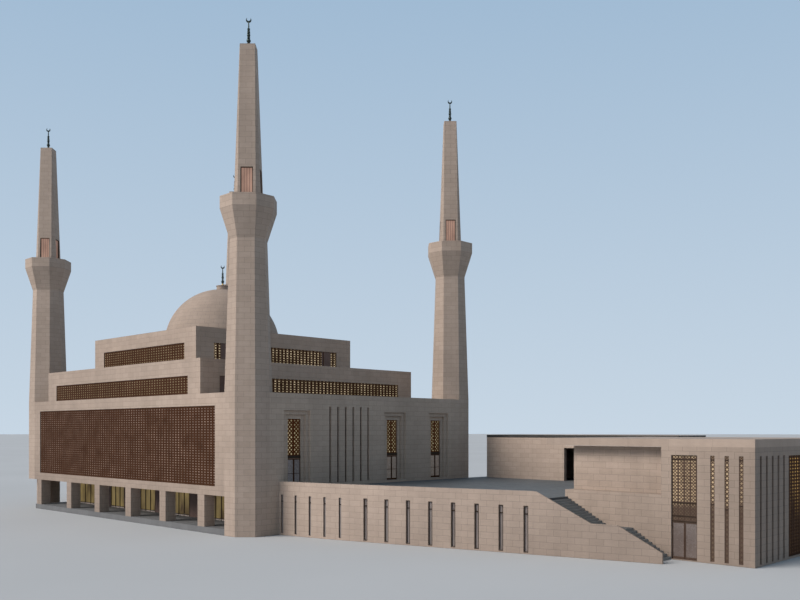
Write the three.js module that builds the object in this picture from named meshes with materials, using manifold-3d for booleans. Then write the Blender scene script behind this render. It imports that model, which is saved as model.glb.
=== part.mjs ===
// Mosque building: a stepped prayer hall with four minarets and a dome,
// joined by a raised court with an outside stair to a low entrance building.
// Scale model 1:2, in millimetres, +Z up. M turns real metres into model millimetres.

import * as THREE from 'three';
import { ConvexGeometry } from 'three/addons/geometries/ConvexGeometry.js';
import { mergeVertices } from 'three/addons/utils/BufferGeometryUtils.js';
import Module from 'manifold-3d';

const wasm = await Module();
wasm.setup();

const M = 500;
const GAP = 0.3;

// Plan of the hall: x runs from -HALL_LENGTH to 0, y from 0 at the front to HALL_WIDTH
const HALL_LENGTH = 41.0 * M;
const HALL_WIDTH = 28.5 * M;
const FRONT_WALL = 0.45 * M;
const SIDE_WALL = 0.6 * M;
const TIER_WALL = 0.4 * M;

// Levels
const LOWER_FLOOR = 0.05 * M;
const GROUND_FLOOR = 0.5 * M;
const SOFFIT = 3.15 * M;
const MAIN_FLOOR = 3.89 * M;
const COURT_FLOOR = 3.7 * M;
const COURT_PARAPET = 4.3 * M;
const TIER_1_TOP = 11.5 * M;
const TIER_2_TOP = 14.48 * M;
const TIER_3_TOP = 17.77 * M;
const ROOF_1 = 11.2 * M;
const ROOF_2 = 14.15 * M;
const ROOF_3 = 17.4 * M;
const ROOF_SLAB = 0.3 * M;

// Upper tiers: outer faces
const TIER_2 = { x: [-34.95 * M, -6.05 * M], y: [0, 25.35 * M] };
const TIER_3 = { x: [-30.0 * M, -11.0 * M], y: [2.75 * M, 21.35 * M] };
const RIBBON_MARGIN = 1.9 * M;
const RIBBON_2 = [TIER_1_TOP, 13.07 * M];
const RIBBON_3 = [14.75 * M, 16.4 * M];
const BAND_THICKNESS = 0.08 * M;

// Dome on the third tier
const DOME = { x: -20.5 * M, y: 12.05 * M, z: 17.2 * M, radius: 5.874 * M, shell: 0.25 * M };
const DOME_CAP = { radius: 0.62 * M, top: 23.5 * M };
const DOME_SIDES = 36;
const DOME_FINIAL_TOP = 25.53 * M;

// Minarets: irregular octagons given by the flat that is parallel to the facades
// and by the flat that lies at 45 degrees
const TOWER_BASE = { flat: 1.43 * M, diagonal: 1.605 * M };
const TOWER_NECK = { flat: 1.01 * M, diagonal: 1.41 * M };
const TOWER_BALCONY = { flat: 1.73 * M, diagonal: 1.886 * M };
const SPIRE_FOOT = { flat: 0.52 * M, diagonal: 1.48 * M };
const SPIRE_TIP = { flat: 0.03 * M, diagonal: 1.2 * M };
const NECK_Z = 23.79 * M;
const BALCONY_FLOOR = 26.2 * M;
const BALCONY_TOP = 27.2 * M;
const SPIRE_TOP = 39.56 * M;
const FINIAL_TOP = 41.9 * M;
const BALCONY_WALL = 0.18 * M;
const SPIRE_DOOR = { width: 1.0 * M, top: 29.55 * M };
const SPIRE_CHAMBER = { side: 1.5 * M, top: 30.2 * M };
const TOWER_PIER = 1.8 * M;

// Arcade below the front of the hall
const PILLAR = 1.0 * M;
const PILLAR_SPACING = 6.05 * M;
const FIRST_PILLAR_X = -5.95 * M;
const REGULAR_PILLARS = 5;
const END_PILLAR_X = -37.2 * M;
const GLAZING_Y = 3.75 * M;
const GLASS = 0.05 * M;
const GLAZING_PANEL = 1.5 * M;
const MULLION = 0.08 * M;
const MULLIONS_PER_BAY = 4;
const END_WALL = { x: -38.1 * M, thickness: 0.3 * M };

// Screens in the front and back walls
const SCREEN = { x: [-37.03 * M, -3.91 * M], top: 10.47 * M, depth: 0.12 * M, setBack: 0.05 * M };
const SCREEN_BAR = 0.12 * M;
const SCREEN_PANE = 0.06 * M;

// Portals of the right wall, facing the court
const PORTAL_CENTRES = [5.41 * M, 16.9 * M, 22.87 * M];
const PORTAL_STEPS = [1.4 * M, 1.05 * M, 0.7 * M];
const PORTAL_STEP_DEPTH = 0.2 * M;
const PORTAL_TOPS = [10.09 * M, 9.75 * M, 9.4 * M];
const PORTAL_HEAD_Z = 10.6 * M;
const DOOR_HEAD = 6.1 * M;
const TRANSOM = 0.26 * M;
const DOOR_THICKNESS = 0.06 * M;
const DOOR_CLEARANCE = 0.012 * M;
const DOOR_PLANE = 0.52 * M;
const PIVOT_RADIUS = 0.015 * M;
const LATTICE_BAR = 0.07 * M;
const LATTICE_DEPTH = 0.08 * M;

// Slot windows of the hall's side walls
const HALL_SLOTS = { first: 9.01 * M, spacing: 0.894 * M, count: 6, width: 0.22 * M };
const HALL_SLOT_Z = [3.97 * M, 10.48 * M];
const LEFT_WINDOW_SILL = 4.9 * M;

// Court wall: an arc of large radius from the hall, then straight, with a thin parapet beside the stair
const COURT_WALL = 0.45 * M;
const STAIR_WALL = 0.12 * M;
const COURT_ARC = { radius: 65 * M, startAngle: 7.2, endAngle: 14.6, facets: 5 };
const COURT_START_Y = 3.5 * M;
const COURT_SLOT = { width: 0.25 * M, z: [0.15 * M, 3.25 * M] };
const ARC_SLOTS = { first: 0.35 * M, spacing: 1.48 * M, count: 5 };
const STRAIGHT_SLOTS = { first: 0.2 * M, spacing: 1.845 * M, count: 8 };
const DECK_SLAB = 0.3 * M;

// Rear wing behind the court, and the wall under the court's far edge
const WING = { x: [0.8 * M, 21.5 * M], y: [29.3 * M, 34.5 * M], wall: 0.4 * M, top: 8.0 * M };
const WING_DOORWAY = { x: [10.05 * M, 11.35 * M], top: 6.78 * M };
const WING_ROOF = [7.4 * M, 7.7 * M];

// Stair along the entrance building: two flights, the landing's edge at LANDING_X
const STAIR_TOP_X = 21.2 * M;
const UPPER_FLIGHT = { risers: 12, tread: 0.28 * M };
const LANDING_X = 26.43 * M;
const LANDING_Z = 1.86 * M;
const LOWER_FLIGHT = { risers: 11, tread: 0.273 * M };
const STAIR_PARAPET = [
  { x: 21.62 * M, z: COURT_PARAPET },
  { x: 25.34 * M, z: 2.31 * M },
  { x: 26.99 * M, z: 2.31 * M },
  { x: 29.81 * M, z: 0.67 * M },
];

// Entrance building
const ANNEX = { x: [20.96 * M, 34.69 * M], y: [13.1 * M, 28.0 * M] };
const ANNEX_WALL = 0.4 * M;
const ANNEX_WALL_TOP = 7.4 * M;
const ANNEX_ROOF_TOP = 7.9 * M;
const ROOF_OVERHANG = 1.57 * M;
const LOGGIA = { right: 28.46 * M, sill: 4.2 * M, depth: 1.15 * M };
const ANNEX_PORTAL = { x: [29.17 * M, 30.96 * M], top: 6.84 * M, doorHead: 2.49 * M, doorPlane: 0.15 * M };
const ANNEX_SLOTS = [31.98 * M, 32.91 * M, 33.83 * M];
const ANNEX_SLOT = { width: 0.28 * M, z: [0.12 * M, 6.84 * M] };
const SIDE_SLOTS = { first: 13.98 * M, spacing: 0.93 * M, count: 5 };
const SIDE_OPENING = { y: [18.49 * M, 22.61 * M], z: [0.12 * M, 6.8 * M] };

// Finishes
const stone = { color: 0xb9a590, roughness: 0.85, metalness: 0.0 };
const bronze = { color: 0x4a342a, roughness: 0.5, metalness: 0.4 };
const glass = { color: 0x8a7a4a, roughness: 0.2, metalness: 0.0 };
const doorMetal = { color: 0x6a5a52, roughness: 0.45, metalness: 0.5 };
const finialMetal = { color: 0x3d4a44, roughness: 0.4, metalness: 0.7 };
const paving = { color: 0x8f8d89, roughness: 0.8, metalness: 0.0 };

// Solids

function toSolid(geometry) {
  const bare = geometry.clone();
  bare.deleteAttribute('normal');
  bare.deleteAttribute('uv');
  const merged = mergeVertices(bare, 1e-3);
  return new wasm.Manifold(new wasm.Mesh({
    numProp: 3,
    vertProperties: Float32Array.from(merged.attributes.position.array),
    triVerts: Uint32Array.from(merged.index.array),
  }));
}

function toGeometry(solid) {
  const mesh = solid.getMesh();
  const geometry = new THREE.BufferGeometry();
  geometry.setAttribute('position', new THREE.BufferAttribute(new Float32Array(mesh.vertProperties), 3));
  geometry.setIndex(new THREE.BufferAttribute(new Uint32Array(mesh.triVerts), 1));
  geometry.computeVertexNormals();
  return geometry;
}

function join(...geometries) {
  return toGeometry(geometries.map(toSolid).reduce((whole, piece) => whole.add(piece)));
}

function cut(geometry, ...tools) {
  return toGeometry(tools.map(toSolid).reduce((rest, tool) => rest.subtract(tool), toSolid(geometry)));
}

function common(geometry, other) {
  return toGeometry(toSolid(geometry).intersect(toSolid(other)));
}

// A box whose corners land exactly on the given pairs
function block(x, y, z) {
  const geometry = new THREE.BoxGeometry(1, 1, 1);
  const corner = geometry.attributes.position;
  for (let i = 0; i < corner.count; i += 1) {
    corner.setXYZ(
      i,
      corner.getX(i) > 0 ? x[1] : x[0],
      corner.getY(i) > 0 ? y[1] : y[0],
      corner.getZ(i) > 0 ? z[1] : z[0],
    );
  }
  return geometry;
}

function extrude(points, depth) {
  const shape = new THREE.Shape(points.map(([u, v]) => new THREE.Vector2(u, v)));
  return new THREE.ExtrudeGeometry(shape, { depth, bevelEnabled: false });
}

function pierce(plate, holes, range, make) {
  return holes.length ? cut(plate, ...holes.map((hole) => make(hole, [range[0] - M, range[1] + M]))) : plate;
}

// A plan outline raised from z[0] to z[1]
function prism(points, z, holes = []) {
  const geometry = extrude(points, z[1] - z[0]).translate(0, 0, z[0]);
  return pierce(geometry, holes, z, prism);
}

// An elevation in x and z, from y[0] to y[1]
function frontPlate(points, y, holes = []) {
  const geometry = extrude(points, y[1] - y[0]).rotateX(Math.PI / 2).translate(0, y[1], 0);
  return pierce(geometry, holes, y, frontPlate);
}

// An elevation in y and z, from x[0] to x[1]
function sidePlate(points, x, holes = []) {
  const turn = new THREE.Matrix4().makeBasis(
    new THREE.Vector3(0, 1, 0),
    new THREE.Vector3(0, 0, 1),
    new THREE.Vector3(1, 0, 0),
  );
  const geometry = extrude(points, x[1] - x[0]).applyMatrix4(turn).translate(x[0], 0, 0);
  return pierce(geometry, holes, x, sidePlate);
}

function rectangle(u, v) {
  return [[u[0], v[0]], [u[1], v[0]], [u[1], v[1]], [u[0], v[1]]];
}

function inset(pair, by) {
  return [pair[0] + by, pair[1] - by];
}

function around(centre, width) {
  return [centre - width / 2, centre + width / 2];
}

// Rectangular openings that leave bars of the given width
function gridHoles(u, v, columns, rows, bar) {
  const holes = [];
  const stepU = (u[1] - u[0] - bar) / columns;
  const stepV = (v[1] - v[0] - bar) / rows;
  for (let i = 0; i < columns; i += 1) {
    for (let j = 0; j < rows; j += 1) {
      const u0 = u[0] + bar + i * stepU;
      const v0 = v[0] + bar + j * stepV;
      holes.push(rectangle([u0, u0 + stepU - bar], [v0, v0 + stepV - bar]));
    }
  }
  return holes;
}

// Openings between crossing diagonal bars inside a frame
function diamondHoles(u, v, columns, rows, bar) {
  const halfU = (u[1] - u[0] - 2 * bar) / columns / 2;
  const halfV = (v[1] - v[0] - 2 * bar) / rows / 2;
  const slant = Math.hypot(halfU, halfV);
  const reachU = halfU - bar * slant / halfV / 2;
  const reachV = halfV - bar * slant / halfU / 2;
  const holes = [];
  for (let i = 0; i <= 2 * columns; i += 1) {
    for (let j = 0; j <= 2 * rows; j += 1) {
      if ((i + j) % 2 === 0 || (i % (2 * columns) === 0 && j % (2 * rows) === 0)) {
        continue;
      }
      const centreU = u[0] + bar + i * halfU;
      const centreV = v[0] + bar + j * halfV;
      const points = [];
      if (i < 2 * columns) points.push([centreU + reachU, centreV]);
      if (j < 2 * rows) points.push([centreU, centreV + reachV]);
      if (i > 0) points.push([centreU - reachU, centreV]);
      if (j > 0) points.push([centreU, centreV - reachV]);
      holes.push(points);
    }
  }
  return holes;
}

function circle(x, y, radius, sides) {
  const points = [];
  for (let i = 0; i < sides; i += 1) {
    const angle = 2 * Math.PI * i / sides;
    points.push([x + radius * Math.cos(angle), y + radius * Math.sin(angle)]);
  }
  return points;
}

// Octagon of the minarets, grown by a margin measured across its flats
function octagon(x, y, size, margin = 0) {
  const half = size.flat / 2 + margin * Math.tan(Math.PI / 8);
  const reach = size.flat / 2 + size.diagonal / Math.SQRT2 + margin;
  return [
    [x - half, y - reach], [x + half, y - reach], [x + reach, y - half], [x + reach, y + half],
    [x + half, y + reach], [x - half, y + reach], [x - reach, y + half], [x - reach, y - half],
  ];
}

function frustum(x, y, lower, upper, z) {
  const ring = (size, height) => octagon(x, y, size).map(([px, py]) => new THREE.Vector3(px, py, height));
  return new ConvexGeometry([...ring(lower, z[0]), ...ring(upper, z[1])]);
}

const building = new THREE.Group();

function add(name, geometry, finish) {
  const mesh = new THREE.Mesh(geometry, new THREE.MeshStandardMaterial(finish));
  mesh.name = name;
  building.add(mesh);
  return mesh;
}

// Minarets

const TOWER_REACH = TOWER_BASE.flat / 2 + TOWER_BASE.diagonal / Math.SQRT2;
const FLAT_END = TOWER_REACH + TOWER_BASE.flat / 2;
const TOWERS = [
  { name: 'near_corner', x: -TOWER_REACH, y: TOWER_REACH, fromGround: true },
  { name: 'front_left', x: -HALL_LENGTH + TOWER_REACH, y: TOWER_REACH, fromGround: false },
  { name: 'back_right', x: -TOWER_REACH, y: HALL_WIDTH - TOWER_REACH, fromGround: true },
  { name: 'back_left', x: -HALL_LENGTH + TOWER_REACH, y: HALL_WIDTH - TOWER_REACH, fromGround: false },
];

function towerShaft({ x, y, fromGround }) {
  const bottom = fromGround ? 0 : SOFFIT;
  const parapetOuter = prism(octagon(x, y, TOWER_BALCONY), [BALCONY_FLOOR, BALCONY_TOP]);
  const walkway = prism(octagon(x, y, TOWER_BALCONY, -BALCONY_WALL), [BALCONY_FLOOR, BALCONY_TOP + M]);
  const pieces = [
    prism(octagon(x, y, TOWER_BASE), [bottom, TIER_1_TOP]),
    frustum(x, y, TOWER_BASE, TOWER_NECK, [TIER_1_TOP, NECK_Z]),
    frustum(x, y, TOWER_NECK, TOWER_BALCONY, [NECK_Z, BALCONY_FLOOR]),
    cut(parapetOuter, walkway),
  ];
  if (!fromGround) {
    pieces.push(block(around(x, TOWER_PIER), around(y, TOWER_PIER), [0, SOFFIT]));
  }
  return join(...pieces);
}

function turnedBlock(x, y, along, across, z) {
  const geometry = block([-along / 2, along / 2], [-across / 2, across / 2], z);
  return geometry.rotateZ(Math.PI / 4).translate(x, y, 0);
}

function towerSpire({ x, y }) {
  const foot = BALCONY_FLOOR + GAP;
  const body = frustum(x, y, SPIRE_FOOT, SPIRE_TIP, [foot, SPIRE_TOP]);
  const sillZ = foot + 0.15 * M;
  const chamber = turnedBlock(x, y, SPIRE_CHAMBER.side, SPIRE_CHAMBER.side, [sillZ, SPIRE_CHAMBER.top]);
  const wayThrough = 4 * M;
  const doorZ = [sillZ, SPIRE_DOOR.top];
  return cut(
    body,
    chamber,
    turnedBlock(x, y, wayThrough, SPIRE_DOOR.width, doorZ),
    turnedBlock(x, y, SPIRE_DOOR.width, wayThrough, doorZ),
  );
}

// Mast with balls and a crescent, from its foot to its tip
function finial(x, y, foot, tip) {
  const height = tip - foot;
  const mast = 0.035 * height;
  const balls = [{ at: 0.2, r: 0.075 }, { at: 0.4, r: 0.06 }, { at: 0.56, r: 0.045 }];
  const profile = [[0, 0], [0.075 * height, 0], [0.075 * height, 0.04 * height], [mast, 0.07 * height]];
  for (const { at, r } of balls) {
    for (const turn of [-60, -20, 20, 60]) {
      const angle = THREE.MathUtils.degToRad(turn);
      profile.push([r * height * Math.cos(angle), (at + r * Math.sin(angle)) * height]);
    }
  }
  profile.push([0.5 * mast, 0.66 * height], [0.4 * mast, 0.86 * height], [0, 0.86 * height]);
  const stem = new THREE.LatheGeometry(profile.map(([r, z]) => new THREE.Vector2(r, z)), 10);
  stem.rotateX(Math.PI / 2).translate(x, y, foot);
  const outer = 0.095 * height;
  const crescent = new THREE.Shape();
  crescent.absarc(0, 0, outer, THREE.MathUtils.degToRad(125), THREE.MathUtils.degToRad(415), false);
  const tipAngle = THREE.MathUtils.degToRad(55);
  const innerCentre = 0.4 * outer;
  const innerRadius = Math.hypot(outer * Math.cos(tipAngle), outer * Math.sin(tipAngle) - innerCentre);
  const innerStart = Math.atan2(outer * Math.sin(tipAngle) - innerCentre, outer * Math.cos(tipAngle));
  crescent.absarc(0, innerCentre, innerRadius, innerStart, Math.PI - innerStart, true);
  const bladeSize = { depth: 0.5 * mast, bevelEnabled: false, curveSegments: 7 };
  const blade = new THREE.ExtrudeGeometry(crescent, bladeSize);
  const bladeZ = tip - outer * Math.sin(tipAngle);
  blade.rotateX(Math.PI / 2).translate(0, 0.25 * mast, 0).rotateZ(Math.PI / 4).translate(x, y, bladeZ);
  return join(stem, blade);
}

for (const tower of TOWERS) {
  add(`minaret_${tower.name}_shaft`, towerShaft(tower), stone);
  add(`minaret_${tower.name}_spire`, towerSpire(tower), stone);
  add(`minaret_${tower.name}_finial`, finial(tower.x, tower.y, SPIRE_TOP + GAP, FINIAL_TOP), finialMetal);
}

// Room for each minaret in the floors and walls, with the cut-off corner outside it
const towerTools = TOWERS.map(({ x, y }) => join(
  prism(octagon(x, y, TOWER_BASE, GAP), [0, TIER_2_TOP]),
  block(
    x < DOME.x ? [-HALL_LENGTH, x] : [x, 0],
    y < DOME.y ? [0, y] : [y, HALL_WIDTH],
    [0, TIER_2_TOP],
  ),
));

// Plan of a wall along the front or back, its ends slanted beside the minarets
function longWallPlan(y, thickness, inward) {
  const near = FLAT_END + GAP * Math.SQRT2;
  const far = near + thickness;
  return [
    [-HALL_LENGTH + near, y], [-near, y],
    [-far, y + inward * thickness], [-HALL_LENGTH + far, y + inward * thickness],
  ];
}

// Hall: floors and the storey at ground level

// The slab carries the arcade's pillars along its front edge
add('hall_ground_slab', cut(
  block([END_WALL.x, -SIDE_WALL - GAP], [0, HALL_WIDTH - FRONT_WALL - GAP], [0, GROUND_FLOOR]),
  towerTools[0],
  towerTools[2],
), paving);

const pillarCentres = [];
for (let i = 0; i < REGULAR_PILLARS; i += 1) {
  pillarCentres.push(FIRST_PILLAR_X - i * PILLAR_SPACING);
}
const allPillars = [...pillarCentres, END_PILLAR_X];

add('front_arcade', join(
  prism(longWallPlan(0, PILLAR, 1), [SOFFIT, MAIN_FLOOR]),
  ...allPillars.map((x) => block(around(x, PILLAR), [0, PILLAR], [GROUND_FLOOR + GAP, SOFFIT])),
), stone);

add('hall_floor_slab', cut(
  block(
    inset([-HALL_LENGTH, 0], SIDE_WALL + GAP),
    [PILLAR + GAP, HALL_WIDTH - FRONT_WALL - GAP],
    [SOFFIT, MAIN_FLOOR],
  ),
  ...towerTools,
), stone);

// Plan of the glazed wall: a thin sheet with posts and closed panels proud of it
function glazingPlan() {
  const left = END_WALL.x + END_WALL.thickness + GAP;
  const right = -SIDE_WALL - GAP;
  const panels = allPillars.map((x) => around(x, GLAZING_PANEL));
  panels[panels.length - 1][0] = left + GLASS;
  const posts = [...panels];
  panels.forEach(([, edge], i) => {
    const far = i === 0 ? right : panels[i - 1][0];
    for (let k = 1; k <= MULLIONS_PER_BAY; k += 1) {
      posts.push(around(edge + (far - edge) * k / (MULLIONS_PER_BAY + 1), MULLION));
    }
  });
  posts.sort((a, b) => a[0] - b[0]);
  const points = [[left, GLAZING_Y + GLASS]];
  for (const [x0, x1] of posts) {
    points.push([x0, GLAZING_Y + GLASS], [x0, GLAZING_Y], [x1, GLAZING_Y], [x1, GLAZING_Y + GLASS]);
  }
  points.push([right, GLAZING_Y + GLASS], [right, GLAZING_Y + 2 * GLASS], [left, GLAZING_Y + 2 * GLASS]);
  return points;
}

add('ground_glazing', prism(glazingPlan(), [GROUND_FLOOR + GAP, SOFFIT - GAP]), glass);

// Hall: front and back walls with their screens

const wallEnd = FLAT_END + GAP * Math.SQRT2;
const screenZ = [MAIN_FLOOR + GAP, SCREEN.top];

add('front_wall', cut(
  prism(longWallPlan(0, FRONT_WALL, 1), [MAIN_FLOOR + GAP, TIER_1_TOP]),
  block(SCREEN.x, [-M, M], [MAIN_FLOOR - M, SCREEN.top]),
), stone);

// The back wall turns the corner at ground level, where it closes the ground storey
add('back_wall', join(
  cut(
    prism(longWallPlan(HALL_WIDTH, FRONT_WALL, -1), [0, TIER_1_TOP]),
    block(SCREEN.x, [HALL_WIDTH - M, HALL_WIDTH + M], [MAIN_FLOOR, SCREEN.top]),
    block([-HALL_LENGTH, END_WALL.x], [HALL_WIDTH - M, HALL_WIDTH + M], [-M, SOFFIT]),
  ),
  block(
    [END_WALL.x, END_WALL.x + END_WALL.thickness],
    [GLAZING_Y, HALL_WIDTH - FRONT_WALL / 2],
    [GROUND_FLOOR + GAP, SOFFIT - GAP],
  ),
), stone);

// Lattice of the window with its pane against the inner side
function wallScreen(outerY, inward) {
  const x = inset(SCREEN.x, GAP);
  const z = [screenZ[0] + GAP, screenZ[1] - GAP];
  const depths = (...values) => values.map((value) => outerY + inward * value).sort((a, b) => a - b);
  const inside = SCREEN.setBack + SCREEN.depth;
  const lattice = depths(SCREEN.setBack, inside);
  const pane = depths(inside - SCREEN_PANE / 2, inside + SCREEN_PANE / 2);
  return join(
    frontPlate(rectangle(x, z), lattice, gridHoles(x, z, 10, 2, SCREEN_BAR)),
    block(x, pane, z),
  );
}

add('front_screen', wallScreen(0, 1), bronze);
add('back_screen', wallScreen(HALL_WIDTH, -1), bronze);

// Hall: side walls

const sideY = [wallEnd, HALL_WIDTH - wallEnd];

// The octagons widen inwards, so the walls' ends are trimmed by them
function trimmedSideWall(x, z) {
  return cut(
    block(x, inset([0, HALL_WIDTH], wallEnd), z),
    ...towerTools,
  );
}

const slotCentres = [];
for (let i = 0; i < HALL_SLOTS.count; i += 1) {
  slotCentres.push(HALL_SLOTS.first + i * HALL_SLOTS.spacing);
}
const slotBlocks = (x, z) => slotCentres.map((y) => block(x, around(y, HALL_SLOTS.width), z));

add('left_wall', cut(
  trimmedSideWall([-HALL_LENGTH, -HALL_LENGTH + SIDE_WALL], [SOFFIT, TIER_1_TOP]),
  ...slotBlocks([-HALL_LENGTH - M, -HALL_LENGTH + M], HALL_SLOT_Z),
  ...PORTAL_CENTRES.map((y) => block(
    [-HALL_LENGTH - M, -HALL_LENGTH + M],
    [y - PORTAL_STEPS[2], y + PORTAL_STEPS[2]],
    [LEFT_WINDOW_SILL, PORTAL_TOPS[2]],
  )),
), stone);

add('right_wall_base', trimmedSideWall([-SIDE_WALL, 0], [0, MAIN_FLOOR]), stone);

// Pier between two portals: its ends step back towards the doors
function pierPlan(start, end) {
  const ends = (portal, side) => PORTAL_STEPS.map((half, i) => [
    [-i * PORTAL_STEP_DEPTH, portal + side * half],
    [-(i + 1) * PORTAL_STEP_DEPTH, portal + side * half],
  ]).flat();
  const first = start === null ? [[0, sideY[0]], [-SIDE_WALL, sideY[0]]] : ends(start, 1);
  const last = end === null ? [[0, sideY[1]], [-SIDE_WALL, sideY[1]]] : ends(end, -1);
  return [...first, ...last.reverse()];
}

const pierZ = [MAIN_FLOOR + GAP, PORTAL_HEAD_Z - GAP];
const pierEnds = [null, ...PORTAL_CENTRES, null];
for (let i = 0; i < pierEnds.length - 1; i += 1) {
  const pier = prism(pierPlan(pierEnds[i], pierEnds[i + 1]), pierZ);
  const tools = i === 1 ? slotBlocks([-M, M], HALL_SLOT_Z) : [towerTools[0], towerTools[2]];
  add(`right_wall_pier_${i + 1}`, cut(pier, ...tools), stone);
}

// Head over the portals, with a stepped lintel in each
const lintels = PORTAL_CENTRES.flatMap((y) => PORTAL_STEPS.map((half, i) => block(
  [-(i + 1) * PORTAL_STEP_DEPTH, -i * PORTAL_STEP_DEPTH],
  [y - half + GAP, y + half - GAP],
  [PORTAL_TOPS[i], PORTAL_HEAD_Z + M / 10],
)));
add('right_wall_head', join(
  trimmedSideWall([-SIDE_WALL, 0], [PORTAL_HEAD_Z, TIER_1_TOP]),
  ...lintels,
), stone);

// Lattice over each pair of doors, its foot the transom
const latticeX = around(-DOOR_PLANE, LATTICE_DEPTH);
PORTAL_CENTRES.forEach((centre, i) => {
  const y = [centre - PORTAL_STEPS[2] + GAP, centre + PORTAL_STEPS[2] - GAP];
  const z = [DOOR_HEAD, PORTAL_TOPS[2] - GAP];
  const holes = diamondHoles(y, [DOOR_HEAD + TRANSOM, z[1]], 2, 4, LATTICE_BAR);
  add(`portal_screen_${i + 1}`, sidePlate(rectangle(y, z), latticeX, holes), bronze);
});

// A door leaf with a rounded edge that turns on a pivot between sill and head.
// The doorway is given by its jamb and middle along the wall; frame maps the
// distance along and across the wall to the plan.
function doorLeaf(jamb, middle, z, frame) {
  const side = Math.sign(middle - jamb);
  const radius = DOOR_THICKNESS / 2;
  const axis = jamb + side * (DOOR_CLEARANCE + radius);
  const plan = [[middle - side * DOOR_CLEARANCE, -radius], [middle - side * DOOR_CLEARANCE, radius]];
  for (let i = 0; i <= 6; i += 1) {
    const angle = Math.PI / 2 + Math.PI * i / 6;
    plan.push([axis + side * radius * Math.cos(angle), radius * Math.sin(angle)]);
  }
  const leaf = prism(plan.map(frame), inset(z, DOOR_CLEARANCE));
  const [x, y] = frame([axis, 0]);
  const pivot = prism(circle(x, y, PIVOT_RADIUS, 10), inset(z, GAP));
  return join(leaf, pivot);
}

const inSideWall = ([along, across]) => [-DOOR_PLANE + across, along];
const inAnnexFront = ([along, across]) => [along, ANNEX.y[0] + ANNEX_PORTAL.doorPlane + across];

PORTAL_CENTRES.forEach((centre, i) => {
  const z = [MAIN_FLOOR, DOOR_HEAD];
  add(`portal_door_${i + 1}_left`, doorLeaf(centre - PORTAL_STEPS[2], centre, z, inSideWall), doorMetal);
  add(`portal_door_${i + 1}_right`, doorLeaf(centre + PORTAL_STEPS[2], centre, z, inSideWall), doorMetal);
});

// Hall: roofs and upper tiers

const tier2Inner = { x: inset(TIER_2.x, TIER_WALL), y: inset(TIER_2.y, TIER_WALL) };
const tier3Inner = { x: inset(TIER_3.x, TIER_WALL), y: inset(TIER_3.y, TIER_WALL) };

add('tier1_roof', cut(
  block(
    inset([-HALL_LENGTH, 0], SIDE_WALL + GAP),
    inset([0, HALL_WIDTH], FRONT_WALL + GAP),
    [ROOF_1 - ROOF_SLAB, ROOF_1],
  ),
  block(tier2Inner.x, [-M, tier2Inner.y[1]], [0, TIER_2_TOP]),
  ...towerTools,
), stone);

// Four walls as a ring, with a ribbon window in each
function tierRing(outer, inner, z, ribbon) {
  const through = 2 * M;
  const ribbonX = inset(outer.x, RIBBON_MARGIN);
  const ribbonY = inset(outer.y, RIBBON_MARGIN);
  const ring = prism(rectangle(outer.x, outer.y), z, [rectangle(inner.x, inner.y)]);
  return cut(
    ring,
    block(ribbonX, [outer.y[0] - through, outer.y[0] + through], ribbon),
    block(ribbonX, [outer.y[1] - through, outer.y[1] + through], ribbon),
    block([outer.x[0] - through, outer.x[0] + through], ribbonY, ribbon),
    block([outer.x[1] - through, outer.x[1] + through], ribbonY, ribbon),
  );
}

// The front of the second tier stands on the front wall, the rest on the roof
add('tier2_walls', cut(
  tierRing(TIER_2, tier2Inner, [ROOF_1 + GAP, TIER_2_TOP], RIBBON_2),
  block([-HALL_LENGTH, 0], [-M, FRONT_WALL + GAP], [0, TIER_1_TOP + GAP]),
), stone);

add('tier2_roof', prism(
  rectangle(inset(tier2Inner.x, GAP), inset(tier2Inner.y, GAP)),
  [ROOF_2 - ROOF_SLAB, ROOF_2],
  [rectangle(tier3Inner.x, tier3Inner.y)],
), stone);

add('tier3_walls', tierRing(TIER_3, tier3Inner, [ROOF_2 + GAP, TIER_3_TOP], RIBBON_3), stone);

// Window bands, one continuous ring inside each tier's walls
function windowBand(inner, z) {
  const outer = { x: inset(inner.x, GAP), y: inset(inner.y, GAP) };
  const hollow = { x: inset(outer.x, BAND_THICKNESS), y: inset(outer.y, BAND_THICKNESS) };
  return prism(rectangle(outer.x, outer.y), z, [rectangle(hollow.x, hollow.y)]);
}

add('tier2_window_band', windowBand(tier2Inner, [RIBBON_2[0] + 2 * GAP, RIBBON_2[1]]), glass);
add('tier3_window_band', windowBand(tier3Inner, [RIBBON_3[0] - 0.1 * M, RIBBON_3[1]]), glass);

const domeFoot = Math.sqrt(DOME.radius ** 2 - (ROOF_3 - DOME.z) ** 2);

add('tier3_roof', prism(
  rectangle(inset(tier3Inner.x, GAP), inset(tier3Inner.y, GAP)),
  [ROOF_3 - ROOF_SLAB, ROOF_3],
  [circle(DOME.x, DOME.y, domeFoot - DOME.shell, DOME_SIDES)],
), stone);

// Dome shell with a round cap that carries the finial
function domeShell() {
  const steps = 10;
  const profile = [];
  const inner = DOME.radius - DOME.shell;
  const footZ = ROOF_3 + GAP - DOME.z;
  const arc = (radius, from, to, count) => {
    for (let i = 0; i <= count; i += 1) {
      const angle = from + (to - from) * i / count;
      profile.push(new THREE.Vector2(radius * Math.cos(angle), radius * Math.sin(angle)));
    }
  };
  const capAngle = Math.acos(DOME_CAP.radius / DOME.radius);
  arc(inner, Math.PI / 2, Math.asin(footZ / inner), steps);
  arc(DOME.radius, Math.asin(footZ / DOME.radius), capAngle, steps);
  profile[0].x = 0;
  profile.push(new THREE.Vector2(DOME_CAP.radius, DOME_CAP.top - DOME.z));
  profile.push(new THREE.Vector2(0, DOME_CAP.top - DOME.z));
  return new THREE.LatheGeometry(profile, DOME_SIDES).rotateX(Math.PI / 2).translate(DOME.x, DOME.y, DOME.z);
}

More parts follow.
